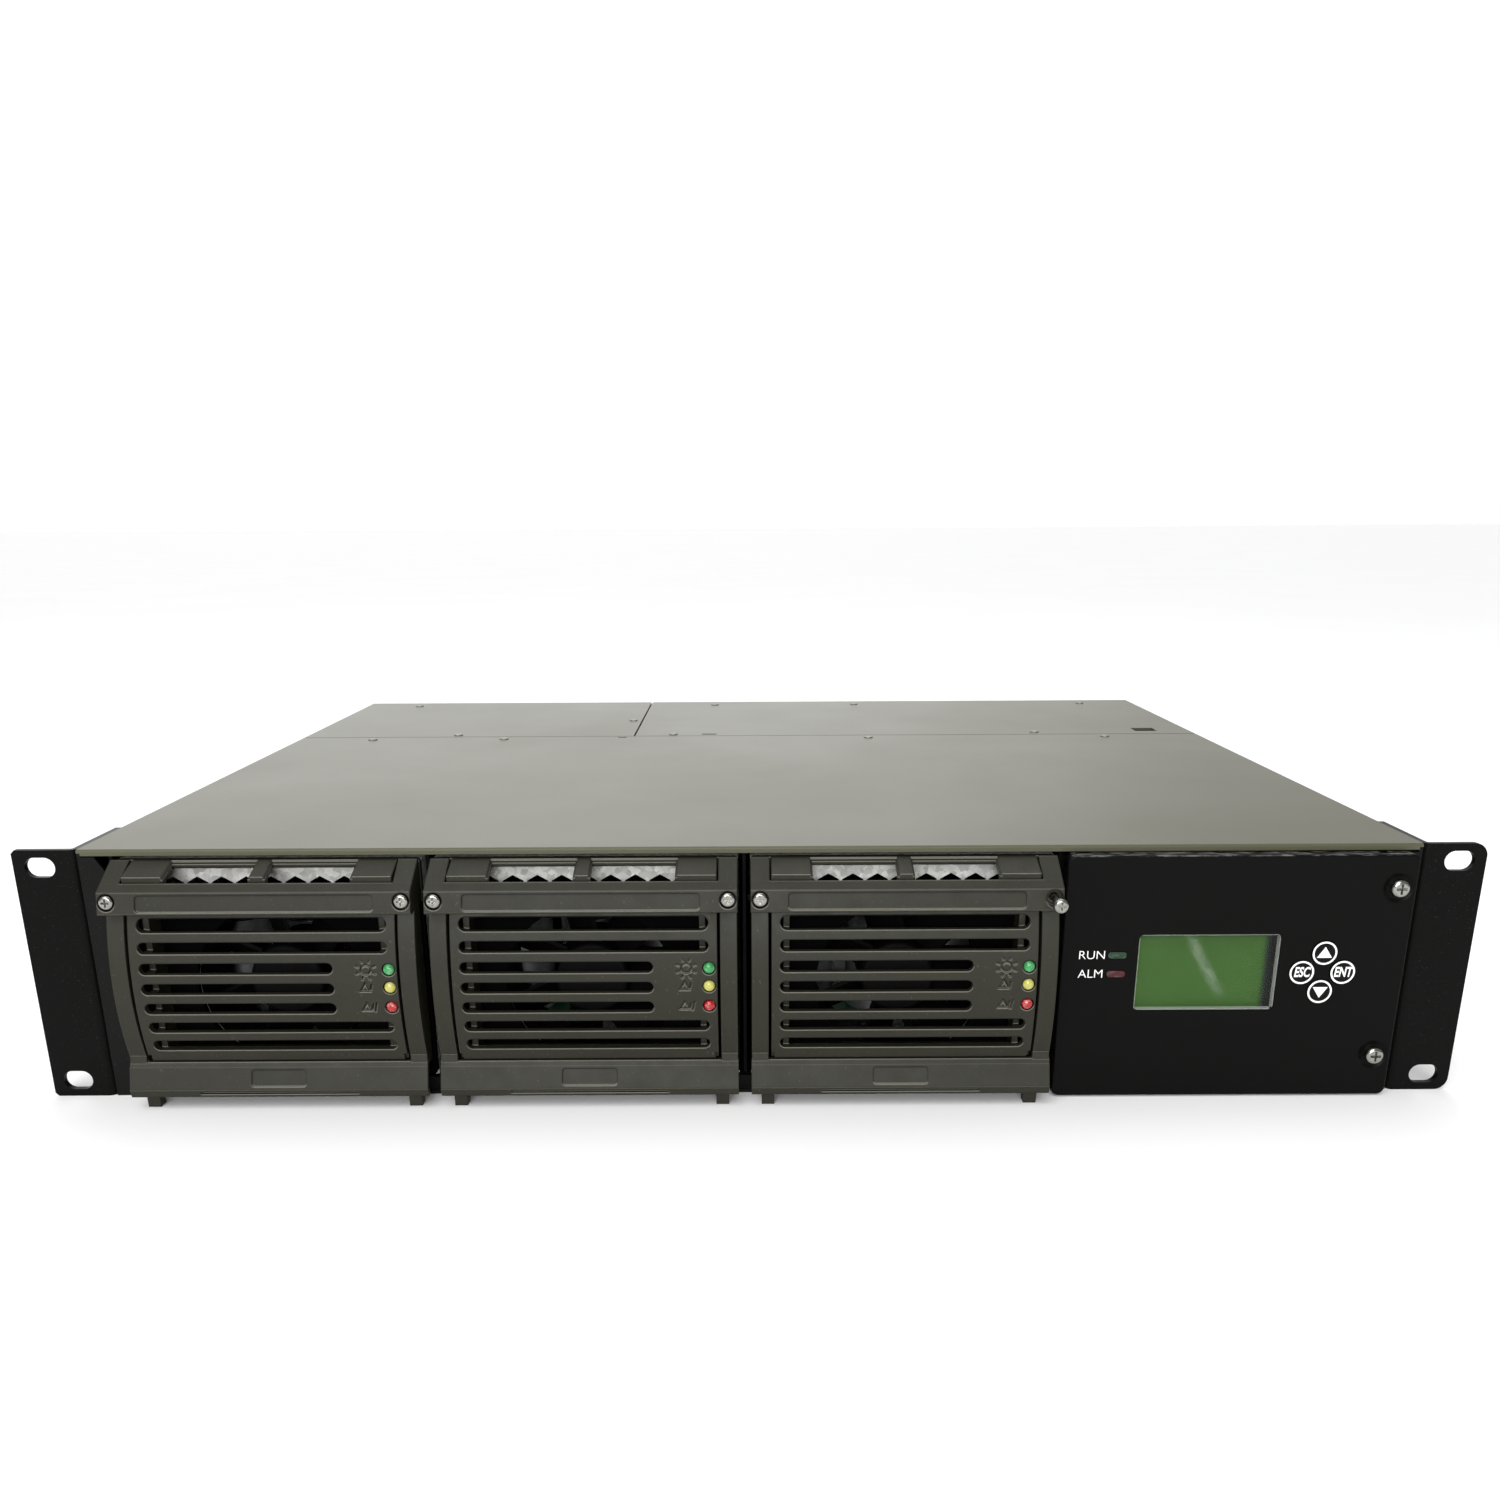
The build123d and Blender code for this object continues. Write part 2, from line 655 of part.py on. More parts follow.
def make_front_grille(number):
    """Moulded front of a module: curved louvre face, window roof, back frame and hinge lugs."""
    x = bay_centre(number)
    inner_edge = rib_x - rib_wall / 2
    outer_edge = rib_x + rib_wall / 2
    spans = ((-grille_half - 1, -outer_edge), (-inner_edge, inner_edge), (outer_edge, grille_half + 1))
    body = grille_profile(x - grille_half, 0)
    hollows = [(grille_profile(x + left, grille_wall), right - left) for left, right in spans]
    symbols = lamp_symbols(x)
    with BuildPart() as grille:
        extrude(body, amount=2 * grille_half)
        # Hollow the body, leaving two upright ribs that frame the air path
        for hollow, width in hollows:
            extrude(hollow, amount=width, mode=Mode.SUBTRACT)
        # Back plate on the steel case: a duct to the fan, cut off at the foot, and one to the vents
        with BuildSketch(facing(0.5)):
            with Locations((x, level((7.4 + 84.6) / 2))):
                RectangleRounded(2 * 50.2, 84.6 - 7.4, 1.5)
            with Locations((x, level(fan_level))):
                Circle(fan_radius - 0.3, mode=Mode.SUBTRACT)
            with Locations((x, level((7.4 + duct_bottom) / 2))):
                Rectangle(2 * fan_radius + 2, duct_bottom - 7.4)
            with Locations((x, level((vent_duct_bottom + 82.4) / 2))):
                Rectangle(2 * 39.4, 82.4 - vent_duct_bottom, mode=Mode.SUBTRACT)
            for sign in (-1, 1):
                with Locations((x + sign * lock_x, level(lock_level))):
                    Circle(2.3, mode=Mode.SUBTRACT)
        extrude(amount=-2)
        # Air slots, shorter where the lamps and their symbols stand
        with BuildSketch(facing(-20)):
            for row in range(-3, 4):
                length = 63.0 if abs(row) < 2 else 81.0
                centre = x - 9.1 if abs(row) < 2 else x
                height = top_slot_height if row == 3 else slot_height
                raised = (height - slot_height) / 2
                with Locations((centre, level(middle_level + row * slot_pitch + raised))):
                    SlotOverall(length, height)
            for height in led_levels:
                with Locations((x + led_x, level(height))):
                    Circle(led_radius + 0.25)
        extrude(amount=-(20 + face_edge + 1.6), mode=Mode.SUBTRACT)
        # Two windows in the roof, in a panel set slightly below the end blocks and the middle rib
        for sign in (-1, 1):
            with BuildSketch(side(x + sign * 16.4 - 14.2)):
                with BuildLine():
                    Polyline((depth(-9.4), level(80.5)), (depth(-9.4), level(90)), (depth(-0.4), level(90)),
                             (depth(-0.4), level(83.9)), close=True)
                make_face()
            extrude(amount=28.4, mode=Mode.SUBTRACT)
            block((x + sign * 16.4 - 13.6, x + sign * 16.4 + 13.6), (-9.4, -1.4), (78, 90), Mode.SUBTRACT)
            # Hinge lug
            with BuildSketch(side(x + sign * 40.1 - 1.8)):
                with BuildLine():
                    Polyline((depth(-7), level(4.9)), (depth(-1), level(6.9)), (depth(2.5), level(7.6)),
                             (depth(2.5), level(18.6)), (depth(-5), level(18.9)), (depth(-9), level(9.1)),
                             close=True)
                make_face()
                with Locations((depth(pivot_depth), level(pivot_level))):
                    Circle(2.6)
                    Circle(pin_radius + 0.02, mode=Mode.SUBTRACT)
            extrude(amount=3.6)
        extrude(symbols, amount=-2.6, mode=Mode.SUBTRACT)
        for sign in (-1, 1):
            corner = (x + sign * (grille_half - 1.1), x + sign * (grille_half + 1.1))
            block((min(corner), max(corner)), (-11, -8), (16, 19.6), Mode.SUBTRACT)
    save(grille.part, f"front_grille_{number}")


def brow_plane(x):
    """Plane on the brow's leaning front face, midway up."""
    low = Vector(x, depth(brow_face_low), level(brow_bottom))
    high = Vector(x, depth(brow_face_high), level(brow_top))
    lean = high - low
    normal = Vector(0, -lean.Z, lean.Y)
    return Plane(origin=(low + high) * 0.5, x_dir=(1, 0, 0), z_dir=normal)


def bar_plane(x):
    """Plane on the leaning front face of the handle's lower bar."""
    low = Vector(x, depth(-12.7), level(8))
    high = Vector(x, depth(-10.5), level(15.4))
    lean = high - low
    normal = Vector(0, -lean.Z, lean.Y)
    return Plane(origin=(low + high) * 0.5, x_dir=(1, 0, 0), z_dir=normal)


def make_ejector_handle(number):
    """Ring-shaped handle: brow, two bowed arms, lower bar and the toes that lever on the tray's lip."""
    x = bay_centre(number)
    with BuildPart() as handle:
        # Brow: sloping ledge and leaning face, right across the module
        with BuildSketch(side(x - handle_half)):
            with BuildLine():
                Polyline((depth(-10.1), level(brow_bottom)), (depth(brow_face_low), level(brow_bottom)),
                         (depth(brow_face_high), level(brow_top)), (depth(-10.1), level(79.55)), close=True)
            make_face()
            fillet(corner_at(brow_face_low, brow_bottom), 0.9)
            fillet(corner_at(brow_face_high, brow_top), 0.7)
        extrude(amount=2 * handle_half)
        # Lower bar: leaning front wall, open behind
        with BuildSketch(side(x - handle_half)):
            with BuildLine():
                Polyline((depth(-7.8), level(16.9)), (depth(-9.6), level(16.9)), (depth(-10.5), level(15.4)),
                         (depth(-12.7), level(8)), (depth(-12.1), level(5.2)), (depth(-10.2), level(5.2)),
                         (depth(-10.9), level(8)), (depth(-8.8), level(14.6)), close=True)
            make_face()
            fillet(corner_at(-12.7, 8), 0.6)
            fillet(corner_at(-10.5, 15.4), 0.5)
        extrude(amount=2 * handle_half)
        for sign in (-1, 1):
            # Arm
            width = handle_half - 0.2 - arm_inner
            arm_left = x + arm_inner if sign > 0 else x - arm_inner - width
            with BuildSketch(side(arm_left)):
                with BuildLine():
                    back = Line((depth(arm_back), level(brow_bottom + 1)), (depth(arm_back), level(15)))
                    foot = Polyline(back @ 1, (depth(-10.2), level(15)), (depth(-9.4), level(19)))
                    bow = ThreePointArc(foot @ 1, (depth(face_bulge - 0.1), level(middle_level)),
                                        (depth(-9.4), level(69.4)))
                    Polyline(bow @ 1, (depth(-9.4), level(brow_bottom + 1)), back @ 0)
                make_face()
            extrude(amount=width)
            # Cheek of the brow, which runs back beside the roof
            cheek_inner = arm_inner - 0.4
            cheek_left = x + cheek_inner if sign > 0 else x - handle_half
            with BuildSketch(side(cheek_left)):
                with BuildLine():
                    Polyline((depth(-0.6), level(brow_bottom)), (depth(-13), level(brow_bottom)),
                             (depth(-12.6), level(77.95)), (depth(-1.5), level(85.0)),
                             (depth(-0.6), level(85.0)), close=True)
                make_face()
            extrude(amount=handle_half - cheek_inner)
            # Pivot cheek and toe
            toe_left = x + toe_inner if sign > 0 else x - toe_inner - toe_width
            with BuildSketch(side(toe_left)):
                with BuildLine():
                    Polyline((depth(-10.4), level(6)), (depth(-11.4), level(9)), (depth(-9.6), level(15.6)),
                             (depth(-4.4), level(15.6)), (depth(-4.0), level(7.5)), (depth(-5.0), level(5)),
                             (depth(-5.2), level(0)), (depth(-8.8), level(0)), (depth(-9), level(5)),
                             close=True)
                make_face()
            extrude(amount=toe_width)
            with BuildSketch(side(toe_left)):
                with Locations((depth(pivot_depth), level(pivot_level))):
                    Circle(pin_radius + running_gap)
            extrude(amount=toe_width, mode=Mode.SUBTRACT)
        # Shallow label fields
        with BuildSketch(brow_plane(x)):
            RectangleRounded(76.0, 5.5, 1.2)
        extrude(amount=-0.7, mode=Mode.SUBTRACT)
        with BuildSketch(bar_plane(x)):
            RectangleRounded(18.4, 5.7, 1.0)
        extrude(amount=-0.6, mode=Mode.SUBTRACT)
        block((x - 26.5, x + 26.5), (-13, -11.3), (6.3, 7.1), Mode.SUBTRACT)
        # Lock screw holes, with a pocket for each head
        with BuildSketch(facing(-18)):
            for sign in (-1, 1):
                with Locations((x + sign * lock_x, level(lock_level))):
                    Circle(lock_head_radius + 0.45)
        extrude(amount=-6, mode=Mode.SUBTRACT)
        with BuildSketch(facing(-18)):
            for sign in (-1, 1):
                with Locations((x + sign * lock_x, level(lock_level))):
                    Circle(1.5)
        extrude(amount=-20, mode=Mode.SUBTRACT)
    save(handle.part, f"ejector_handle_{number}")


def corner_at(distance, height):
    """Corner of the side-view sketch being drawn that lies at this depth and level."""
    return vertices().sort_by_distance((depth(distance), level(height), 0))[0]


def make_hinge_pins(number):
    """Two steel pins, pressed into the grille's lugs, that the handle turns on."""
    x = bay_centre(number)
    with BuildPart() as pins:
        for left in (x + 38.4, x - 46.4):
            with BuildSketch(side(left)):
                with Locations((depth(pivot_depth), level(pivot_level))):
                    Circle(pin_radius)
            extrude(amount=8.0)
    save(pins.part, f"hinge_pins_{number}")


def make_lock_screw(number, hand, standing_out):
    """Captive screw at one end of the brow: domed head with a cross recess, shank and thread."""
    x = bay_centre(number) + (lock_x if hand == "right" else -lock_x)
    head_front = -14.5 - standing_out
    with BuildPart() as screw:
        with BuildSketch(facing(head_front + 2.2)):
            with Locations((x, level(lock_level))):
                Circle(lock_head_radius)
        extrude(amount=2.2)
        fillet(screw.edges().filter_by(GeomType.CIRCLE).group_by(Axis.Y)[0], 0.9)
        with BuildSketch(facing(head_front)):
            with Locations((x, level(lock_level))):
                Rectangle(2.6, 0.55)
                Rectangle(0.55, 2.6)
        extrude(amount=-1.1, mode=Mode.SUBTRACT)
        with BuildSketch(facing(head_front + 2.2)):
            with Locations((x, level(lock_level))):
                Circle(1.3)
        extrude(amount=-14.0)
        chamfer(screw.edges().filter_by(GeomType.CIRCLE).group_by(Axis.Y)[-1], 0.5)
    save(screw.part, f"lock_screw_{hand}_{number}")


def make_status_leds(number):
    """Green, yellow and red lamps with domed tips, on a small carrier fixed to the grille's rib."""
    x = bay_centre(number)
    with BuildPart() as leds:
        for height in led_levels:
            bow_drop = (height - middle_level) ** 2 / 170
            with BuildSketch(facing(face_bulge + bow_drop + 4.4)):
                with Locations((x + led_x, level(height))):
                    Circle(led_radius)
            extrude(amount=5.2)
        carrier_front = face_bulge + 4.2
        block((x + rib_x + rib_wall / 2, x + led_x + led_radius), (carrier_front, carrier_front + 1.2),
              (led_levels[-1] - 4, led_levels[0] + 4))
        ahead = depth(carrier_front) - 0.5
        tips = [face for face in leds.faces().filter_by(Axis.Y) if face.center().Y < ahead]
        fillet([edge for face in tips for edge in face.edges()], 1.5)
    save(leds.part, f"status_leds_{number}")


fan_front = case_front + case_wall
shaft_radius = 1.5


def make_fan_housing(number):
    """Square fan frame with mounting holes and a rear spider that carries the shaft."""
    x = bay_centre(number)
    centre = (x, level(fan_level))
    with BuildPart() as housing:
        with BuildSketch(facing(fan_front)):
            with Locations(centre):
                RectangleRounded(fan_size, fan_size, 3)
                Circle(fan_radius, mode=Mode.SUBTRACT)
                with GridLocations(50, 50, 2, 2):
                    Circle(2.15, mode=Mode.SUBTRACT)
        extrude(amount=-fan_depth)
        with BuildSketch(facing(fan_front + fan_depth)):
            with Locations(centre):
                Circle(13)
                for angle in (45, 165, 285):
                    with Locations(Location((0, 0), angle)):
                        with Locations((20, 0)):
                            Rectangle(20, 3)
        extrude(amount=2.5)
        with BuildSketch(facing(fan_front + fan_depth)):
            with Locations(centre):
                Circle(shaft_radius)
        extrude(amount=15)
    save(housing.part, f"fan_housing_{number}")


def make_fan_rotor(number):
    """Fan hub with seven pitched blades."""
    x = bay_centre(number)
    centre = Vector(x, depth(fan_front + 11.5), level(fan_level))
    with BuildPart() as rotor:
        with BuildSketch(facing(fan_front + 2)):
            with Locations((centre.X, centre.Z)):
                Circle(12.5)
        extrude(amount=-19.5)
        fillet(rotor.edges().group_by(Axis.Y)[0], 1.5)
        hub_axis = Plane(origin=centre, x_dir=(1, 0, 0), z_dir=(0, -1, 0))
        with Locations(hub_axis):
            with PolarLocations(19.6, 7):
                Box(15.6, 1.4, 18, rotation=(38, 0, 0))
        with BuildSketch(facing(fan_front + fan_depth)):
            with Locations((centre.X, centre.Z)):
                Circle(shaft_radius + running_gap)
        extrude(amount=15.5, mode=Mode.SUBTRACT)
    save(rotor.part, f"fan_rotor_{number}")


def make_power_board(number):
    """Converter board on four posts, with its heaviest parts; the rear tongue plugs in behind."""
    x = bay_centre(number)
    top = board_level + board_thickness
    with BuildPart() as board:
        block((x - 46, x + 46), (32, 193.5), (board_level, top))
        block((x - plug_half, x + plug_half), (193.5, 207.5), (board_level, top))
        for left in (-44, 20):
            block((x + left, x + left + 3), (60, 170), (top, 70))
            for fin in range(4):
                height = 26 + fin * 12
                block((x + left + 3, x + left + 12), (60, 170), (height, height + 2))
        with BuildSketch(flat(case_bottom + case_wall)):
            with Locations((x, depth(112))):
                with GridLocations(80, 140, 2, 2):
                    Circle(3)
        extrude(amount=board_level - case_bottom - case_wall)
        block((x - 20, x + 14), (70, 108), (top, 46))
        block((x - 18, x + 12), (124, 150), (top, 40))
        with BuildSketch(flat(top)):
            for spot in (-30, -4, 22):
                with Locations((x + spot, depth(46))):
                    Circle(10.5)
        extrude(amount=36)
    save(board.part, f"power_board_{number}")


# ---------------------------------------------------------------- control door


def make_control_door():
    """Folded door pan with openings for the display, two indicators, four keys and two screws."""
    width = door_right - door_left
    height = door_top - door_bottom
    centre = ((door_left + door_right) / 2, level((door_top + door_bottom) / 2))
    with BuildPart() as door:
        with BuildSketch(facing(door_face)):
            with Locations(centre):
                RectangleRounded(width, height, 2.6)
        extrude(amount=-(door_rim_back - door_face))
        fillet(door.faces().sort_by(Axis.Y)[0].outer_wire().edges(), 0.7)
        with BuildSketch(facing(door_face + door_sheet)):
            with Locations(centre):
                RectangleRounded(width - 2 * door_sheet, height - 2 * door_sheet, 1.2)
        extrude(amount=-10, mode=Mode.SUBTRACT)
        with BuildSketch(facing(door_face)):
            with Locations((window_x, level(window_level))):
                RectangleRounded(window_width, window_height, 1.6)
            for place in key_places().values():
                with Locations(place):
                    Circle(key_radius + key_gap)
            for row in (run_level, alarm_level):
                with Locations((indicator_x, level(row))):
                    SlotOverall(6.6, 2.7)
            for row in door_screw_levels:
                with Locations((door_screw_x, level(row))):
                    Circle(2.15)
        extrude(amount=-door_sheet, mode=Mode.SUBTRACT)
        # Hinge holes through the top and bottom flanges
        with BuildSketch(flat(door_bottom)):
            with Locations((hinge_x, depth(hinge_depth))):
                Circle(1.0 + running_gap)
        extrude(amount=height, mode=Mode.SUBTRACT)
        # The left flange stops short of the hinge ears
        for levels in ((door_bottom + door_sheet, 5.6), (80.8, door_top - door_sheet)):
            block((door_left - 1, door_left + 2 * door_sheet), (door_face + door_sheet, 0), levels,
                  Mode.SUBTRACT)
        # A gap in the top flange, near its right end
        block((205.0, 208.0), (door_face + 2.2, door_rim_back), (84, 87), Mode.SUBTRACT)
    save(door.part, "control_door")


def key_places():
    """Centres of the four keys on the door, in X and Z."""
    return {"up": (keypad_x, level(keypad_level + key_offset)),
            "escape": (keypad_x - key_offset, level(keypad_level)),
            "enter": (keypad_x + key_offset, level(keypad_level)),
            "down": (keypad_x, level(keypad_level - key_offset))}


def make_door_hinge():
    """Hinge angle screwed to the last divider: two ears, each with a short upright pin."""
    strip_left = bays_right + 0.6
    with BuildPart() as hinge:
        for low in (2.4, 82.3):
            block((hinge_x - 1.2, hinge_x + 2.4), (hinge_depth - 1.3, 9.0), (low, low + 1.6))
            block((strip_left, hinge_x), (3.0, 9.0), (low, low + 1.6))
            with BuildSketch(flat(low - 1.6)):
                with Locations((hinge_x, depth(hinge_depth))):
                    Circle(1.0)
            extrude(amount=4.8)
        block((strip_left, strip_left + sheet), (3, 9), (2.4, 84.2))
    save(hinge.part, "door_hinge")


def make_display_window():
    """Clear pane that fills the display opening, with a flange bonded behind the door's sheet."""
    with BuildPart() as pane:
        with BuildSketch(facing(door_face + 0.3)):
            with Locations((window_x, level(window_level))):
                RectangleRounded(window_width - 0.4, window_height - 0.4, 1.5)
        extrude(amount=-(door_sheet - 0.3))
        with BuildSketch(facing(door_face + door_sheet)):
            with Locations((window_x, level(window_level))):
                RectangleRounded(window_width + 3, window_height + 3, 2.5)
        extrude(amount=-0.9)
    save(pane.part, "display_window")


board_front = 8.0


def make_display_module():
    """Liquid crystal panel: a glass field in a shallow frame, with a body behind."""
    with BuildPart() as display:
        block((window_x - 26.4, window_x + 27), (0.0, board_front), (window_level - 18, window_level + 18))
        with BuildSketch(facing(0.0)):
            with Locations((window_x - 1.5, level(window_level))):
                Rectangle(window_width - 1.6, window_height + 1.5)
        extrude(amount=1.4)
    save(display.part, "display_module")


def make_controller_board():
    """Control board behind the display, with four key switches and its larger components."""
    front = board_front
    with BuildPart() as board:
        block((112, 202), (front, front + 1.6), (8, 79))
        for x, height in ((116, 12), (199, 24), (116, 75), (199, 75)):
            with BuildSketch(facing(front)):
                with Locations((x, level(height))):
                    Circle(2.5)
            extrude(amount=front - door_face - door_sheet)
        for place in key_places().values():
            with BuildSketch(facing(front)):
                with Locations(place):
                    Rectangle(6, 6)
            extrude(amount=4)
        block((120, 140), (front + 1.6, front + 11), (12, 26))
        block((150, 176), (front + 1.6, front + 9), (12, 24))
        block((134, 154), (front + 1.6, front + 4), (40, 60))
        block((176, 196), (front + 1.6, front + 14), (34, 64))
    save(board.part, "controller_board")


def make_panel_indicators():
    """Run and alarm light pipes, from the control board to their slots in the door."""
    with BuildPart() as pipes:
        for row in (run_level, alarm_level):
            with BuildSketch(facing(door_face - 0.1)):
                with Locations((indicator_x, level(row))):
                    SlotOverall(6.2, 2.3)
            extrude(amount=-(board_front - door_face + 0.1))
    save(pipes.part, "panel_indicators")


def make_keys():
    """Four round keys, each a flush cap with a flange behind the door and a stem to its switch."""
    for name, place in key_places().items():
        with BuildPart() as key:
            with BuildSketch(facing(door_face - 0.3)):
                with Locations(place):
                    Circle(key_radius)
            extrude(amount=-(door_sheet + 0.6))
            fillet(key.edges().group_by(Axis.Y)[0], 0.3)
            with BuildSketch(facing(door_face + door_sheet + 0.3)):
                with Locations(place):
                    Circle(key_radius + 0.45)
            extrude(amount=-0.8)
            with BuildSketch(facing(door_face + door_sheet + 1.1)):
                with Locations(place):
                    Circle(1.6)
            extrude(amount=-5.8)
        save(key.part, f"key_{name}")


def make_door_screws():
    """Two captive cross-head screws that hold the door shut against the right-hand strip."""
    for node, height in zip(("door_screw_top", "door_screw_bottom"), door_screw_levels):
        with BuildPart() as screw:
            with BuildSketch(facing(door_face)):
                with Locations((door_screw_x, level(height))):
                    Circle(3.0)
            extrude(amount=2.2)
            fillet(screw.edges().group_by(Axis.Y)[0], 1.2)
            with BuildSketch(facing(door_face - 2.2)):
                with Locations((door_screw_x, level(height))):
                    Rectangle(3.4, 0.7)
                    Rectangle(0.7, 3.4)
            extrude(amount=-1.3, mode=Mode.SUBTRACT)
            with BuildSketch(facing(door_face)):
                with Locations((door_screw_x, level(height))):
                    Circle(1.95)
            extrude(amount=-10)
            chamfer(screw.edges().filter_by(GeomType.CIRCLE).group_by(Axis.Y)[-1], 0.5)
        save(screw.part, node)


# ---------------------------------------------------------------- build everything

make_chassis_tray()
make_top_cover()
make_rear_covers()
make_cover_screws()
make_rear_panel()
make_rack_ears()
make_ear_screws()
make_bay_dividers()
make_backplane()
make_busbars()
make_terminal_insulator()
make_terminal_hardware()
make_ac_terminal_block()
make_battery_breakers()
make_breaker_levers()

for bay in range(1, module_count + 1):
    make_rectifier_case(bay)
    make_front_grille(bay)
    make_ejector_handle(bay)
    make_hinge_pins(bay)
    make_lock_screw(bay, "left", 0.0)
    make_lock_screw(bay, "right", lock_travel if bay == module_count else 0.0)
    make_status_leds(bay)
    make_fan_housing(bay)
    make_fan_rotor(bay)
    make_power_board(bay)

make_control_door()
make_door_hinge()
make_display_window()
make_display_module()
make_controller_board()
make_panel_indicators()
make_keys()
make_door_screws()
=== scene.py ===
import json
import math

import bmesh
import bpy
from mathutils import Matrix, Vector


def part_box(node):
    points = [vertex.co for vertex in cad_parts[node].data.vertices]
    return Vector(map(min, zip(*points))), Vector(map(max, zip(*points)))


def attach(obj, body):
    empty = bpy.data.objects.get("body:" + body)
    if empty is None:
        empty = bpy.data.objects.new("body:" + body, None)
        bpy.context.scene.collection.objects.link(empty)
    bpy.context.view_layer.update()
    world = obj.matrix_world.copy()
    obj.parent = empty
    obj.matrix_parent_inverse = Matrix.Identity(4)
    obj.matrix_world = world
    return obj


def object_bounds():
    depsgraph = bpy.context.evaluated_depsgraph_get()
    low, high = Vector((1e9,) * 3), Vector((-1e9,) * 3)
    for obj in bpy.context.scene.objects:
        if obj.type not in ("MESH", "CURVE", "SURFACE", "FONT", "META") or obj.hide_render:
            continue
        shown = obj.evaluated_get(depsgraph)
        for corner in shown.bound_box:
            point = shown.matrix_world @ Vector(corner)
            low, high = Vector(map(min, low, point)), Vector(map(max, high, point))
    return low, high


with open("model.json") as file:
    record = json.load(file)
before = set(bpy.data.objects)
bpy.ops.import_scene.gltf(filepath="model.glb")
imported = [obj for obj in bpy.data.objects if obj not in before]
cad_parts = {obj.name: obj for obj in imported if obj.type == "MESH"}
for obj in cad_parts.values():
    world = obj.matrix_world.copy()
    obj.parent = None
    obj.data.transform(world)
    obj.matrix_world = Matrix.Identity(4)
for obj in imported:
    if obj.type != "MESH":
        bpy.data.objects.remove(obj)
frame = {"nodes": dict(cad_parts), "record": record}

cad_bounds = [list(corner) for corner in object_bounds()]

MM = 0.001
LIFT = 0.03 * MM                        # how far printed ink stands off the surface below it
STEP = 0.1 * MM                         # width of the change between two colours of one moulding


# ---------------------------------------------------------------- node graphs


class Graph:
    """One material's node tree, with short calls that add and link nodes."""

    def __init__(self, name):
        self.material = bpy.data.materials.new(name)
        self.material.use_nodes = True
        self.tree = self.material.node_tree
        self.shader = self.tree.nodes["Principled BSDF"]
        self.place = self.add("ShaderNodeTexCoord").outputs["Object"]

    def add(self, kind, inputs=None, **settings):
        node = self.tree.nodes.new(kind)
        for key, value in settings.items():
            setattr(node, key, value)
        for key, value in (inputs or {}).items():
            self.put(node.inputs[key], value)
        return node

    def put(self, socket, value):
        if isinstance(value, bpy.types.NodeSocket):
            self.tree.links.new(value, socket)
        elif hasattr(value, "__len__") and len(value) == 3 and socket.type == "RGBA":
            socket.default_value = (*value, 1.0)
        else:
            socket.default_value = value

    def surface(self, **values):
        """Sets sockets of the shader: base_color becomes Base Color, and so on."""
        for key, value in values.items():
            self.put(self.shader.inputs[key.replace("_", " ").title().replace("Ior", "IOR")], value)
        return self.material

    def stretched(self, scale):
        """Object coordinates in metres, scaled by three factors."""
        return self.add("ShaderNodeMapping", {"Vector": self.place, "Scale": scale}).outputs[0]

    def noise(self, scale, detail=3.0, roughness=0.55, place=None):
        inputs = {"Vector": place or self.place, "Scale": scale, "Detail": detail, "Roughness": roughness}
        return self.add("ShaderNodeTexNoise", inputs).outputs["Fac"]

    def remap(self, value, low, high, to_low=0.0, to_high=1.0, smooth=False):
        kind = "SMOOTHSTEP" if smooth else "LINEAR"
        inputs = {"Value": value, "From Min": low, "From Max": high, "To Min": to_low, "To Max": to_high}
        return self.add("ShaderNodeMapRange", inputs, interpolation_type=kind).outputs[0]

    def math(self, operation, first, second=0.0):
        node = self.add("ShaderNodeMath", operation=operation)
        self.put(node.inputs[0], first)
        self.put(node.inputs[1], second)
        return node.outputs[0]

    def blend(self, factor, first, second):
        """Mixes two colours."""
        node = self.add("ShaderNodeMix", data_type="RGBA")
        self.put(node.inputs["Factor"], factor)
        self.put(node.inputs[6], first)
        self.put(node.inputs[7], second)
        return node.outputs[2]

    def axes(self):
        """X, Y and Z of the point, in metres."""
        node = self.add("ShaderNodeSeparateXYZ", {"Vector": self.place})
        return node.outputs

    def between(self, value, low, high, soft=0.05 * MM):
        """1 where value lies between low and high, with a soft edge."""
        rise = self.remap(value, low - soft, low + soft)
        fall = self.remap(value, high - soft, high + soft, 1.0, 0.0)
        return self.math("MULTIPLY", rise, fall)

    def corners(self, radius):
        """Two masks beside the corners of a part: where a rounded one would look up, and down."""
        rounded = self.add("ShaderNodeBevel", {"Radius": radius}, samples=6)
        flat = self.add("ShaderNodeNewGeometry")
        lean = self.add("ShaderNodeVectorMath", {0: rounded.outputs[0], 1: flat.outputs["Normal"]},
                        operation="SUBTRACT")
        rise = self.add("ShaderNodeSeparateXYZ", {0: lean.outputs[0]}).outputs["Z"]
        return self.remap(rise, 0.03, 0.3), self.remap(rise, -0.3, -0.04, 1.0, 0.0)

    def relief(self, height, distance, strength=1.0, edge_radius=0.0):
        """Bump from a height field, over softly rounded edges where edge_radius is given."""
        inputs = {"Height": height, "Distance": distance, "Strength": strength}
        if edge_radius:
            bevel = self.add("ShaderNodeBevel", {"Radius": edge_radius}, samples=4)
            inputs["Normal"] = bevel.outputs[0]
        self.put(self.shader.inputs["Normal"], self.add("ShaderNodeBump", inputs).outputs[0])


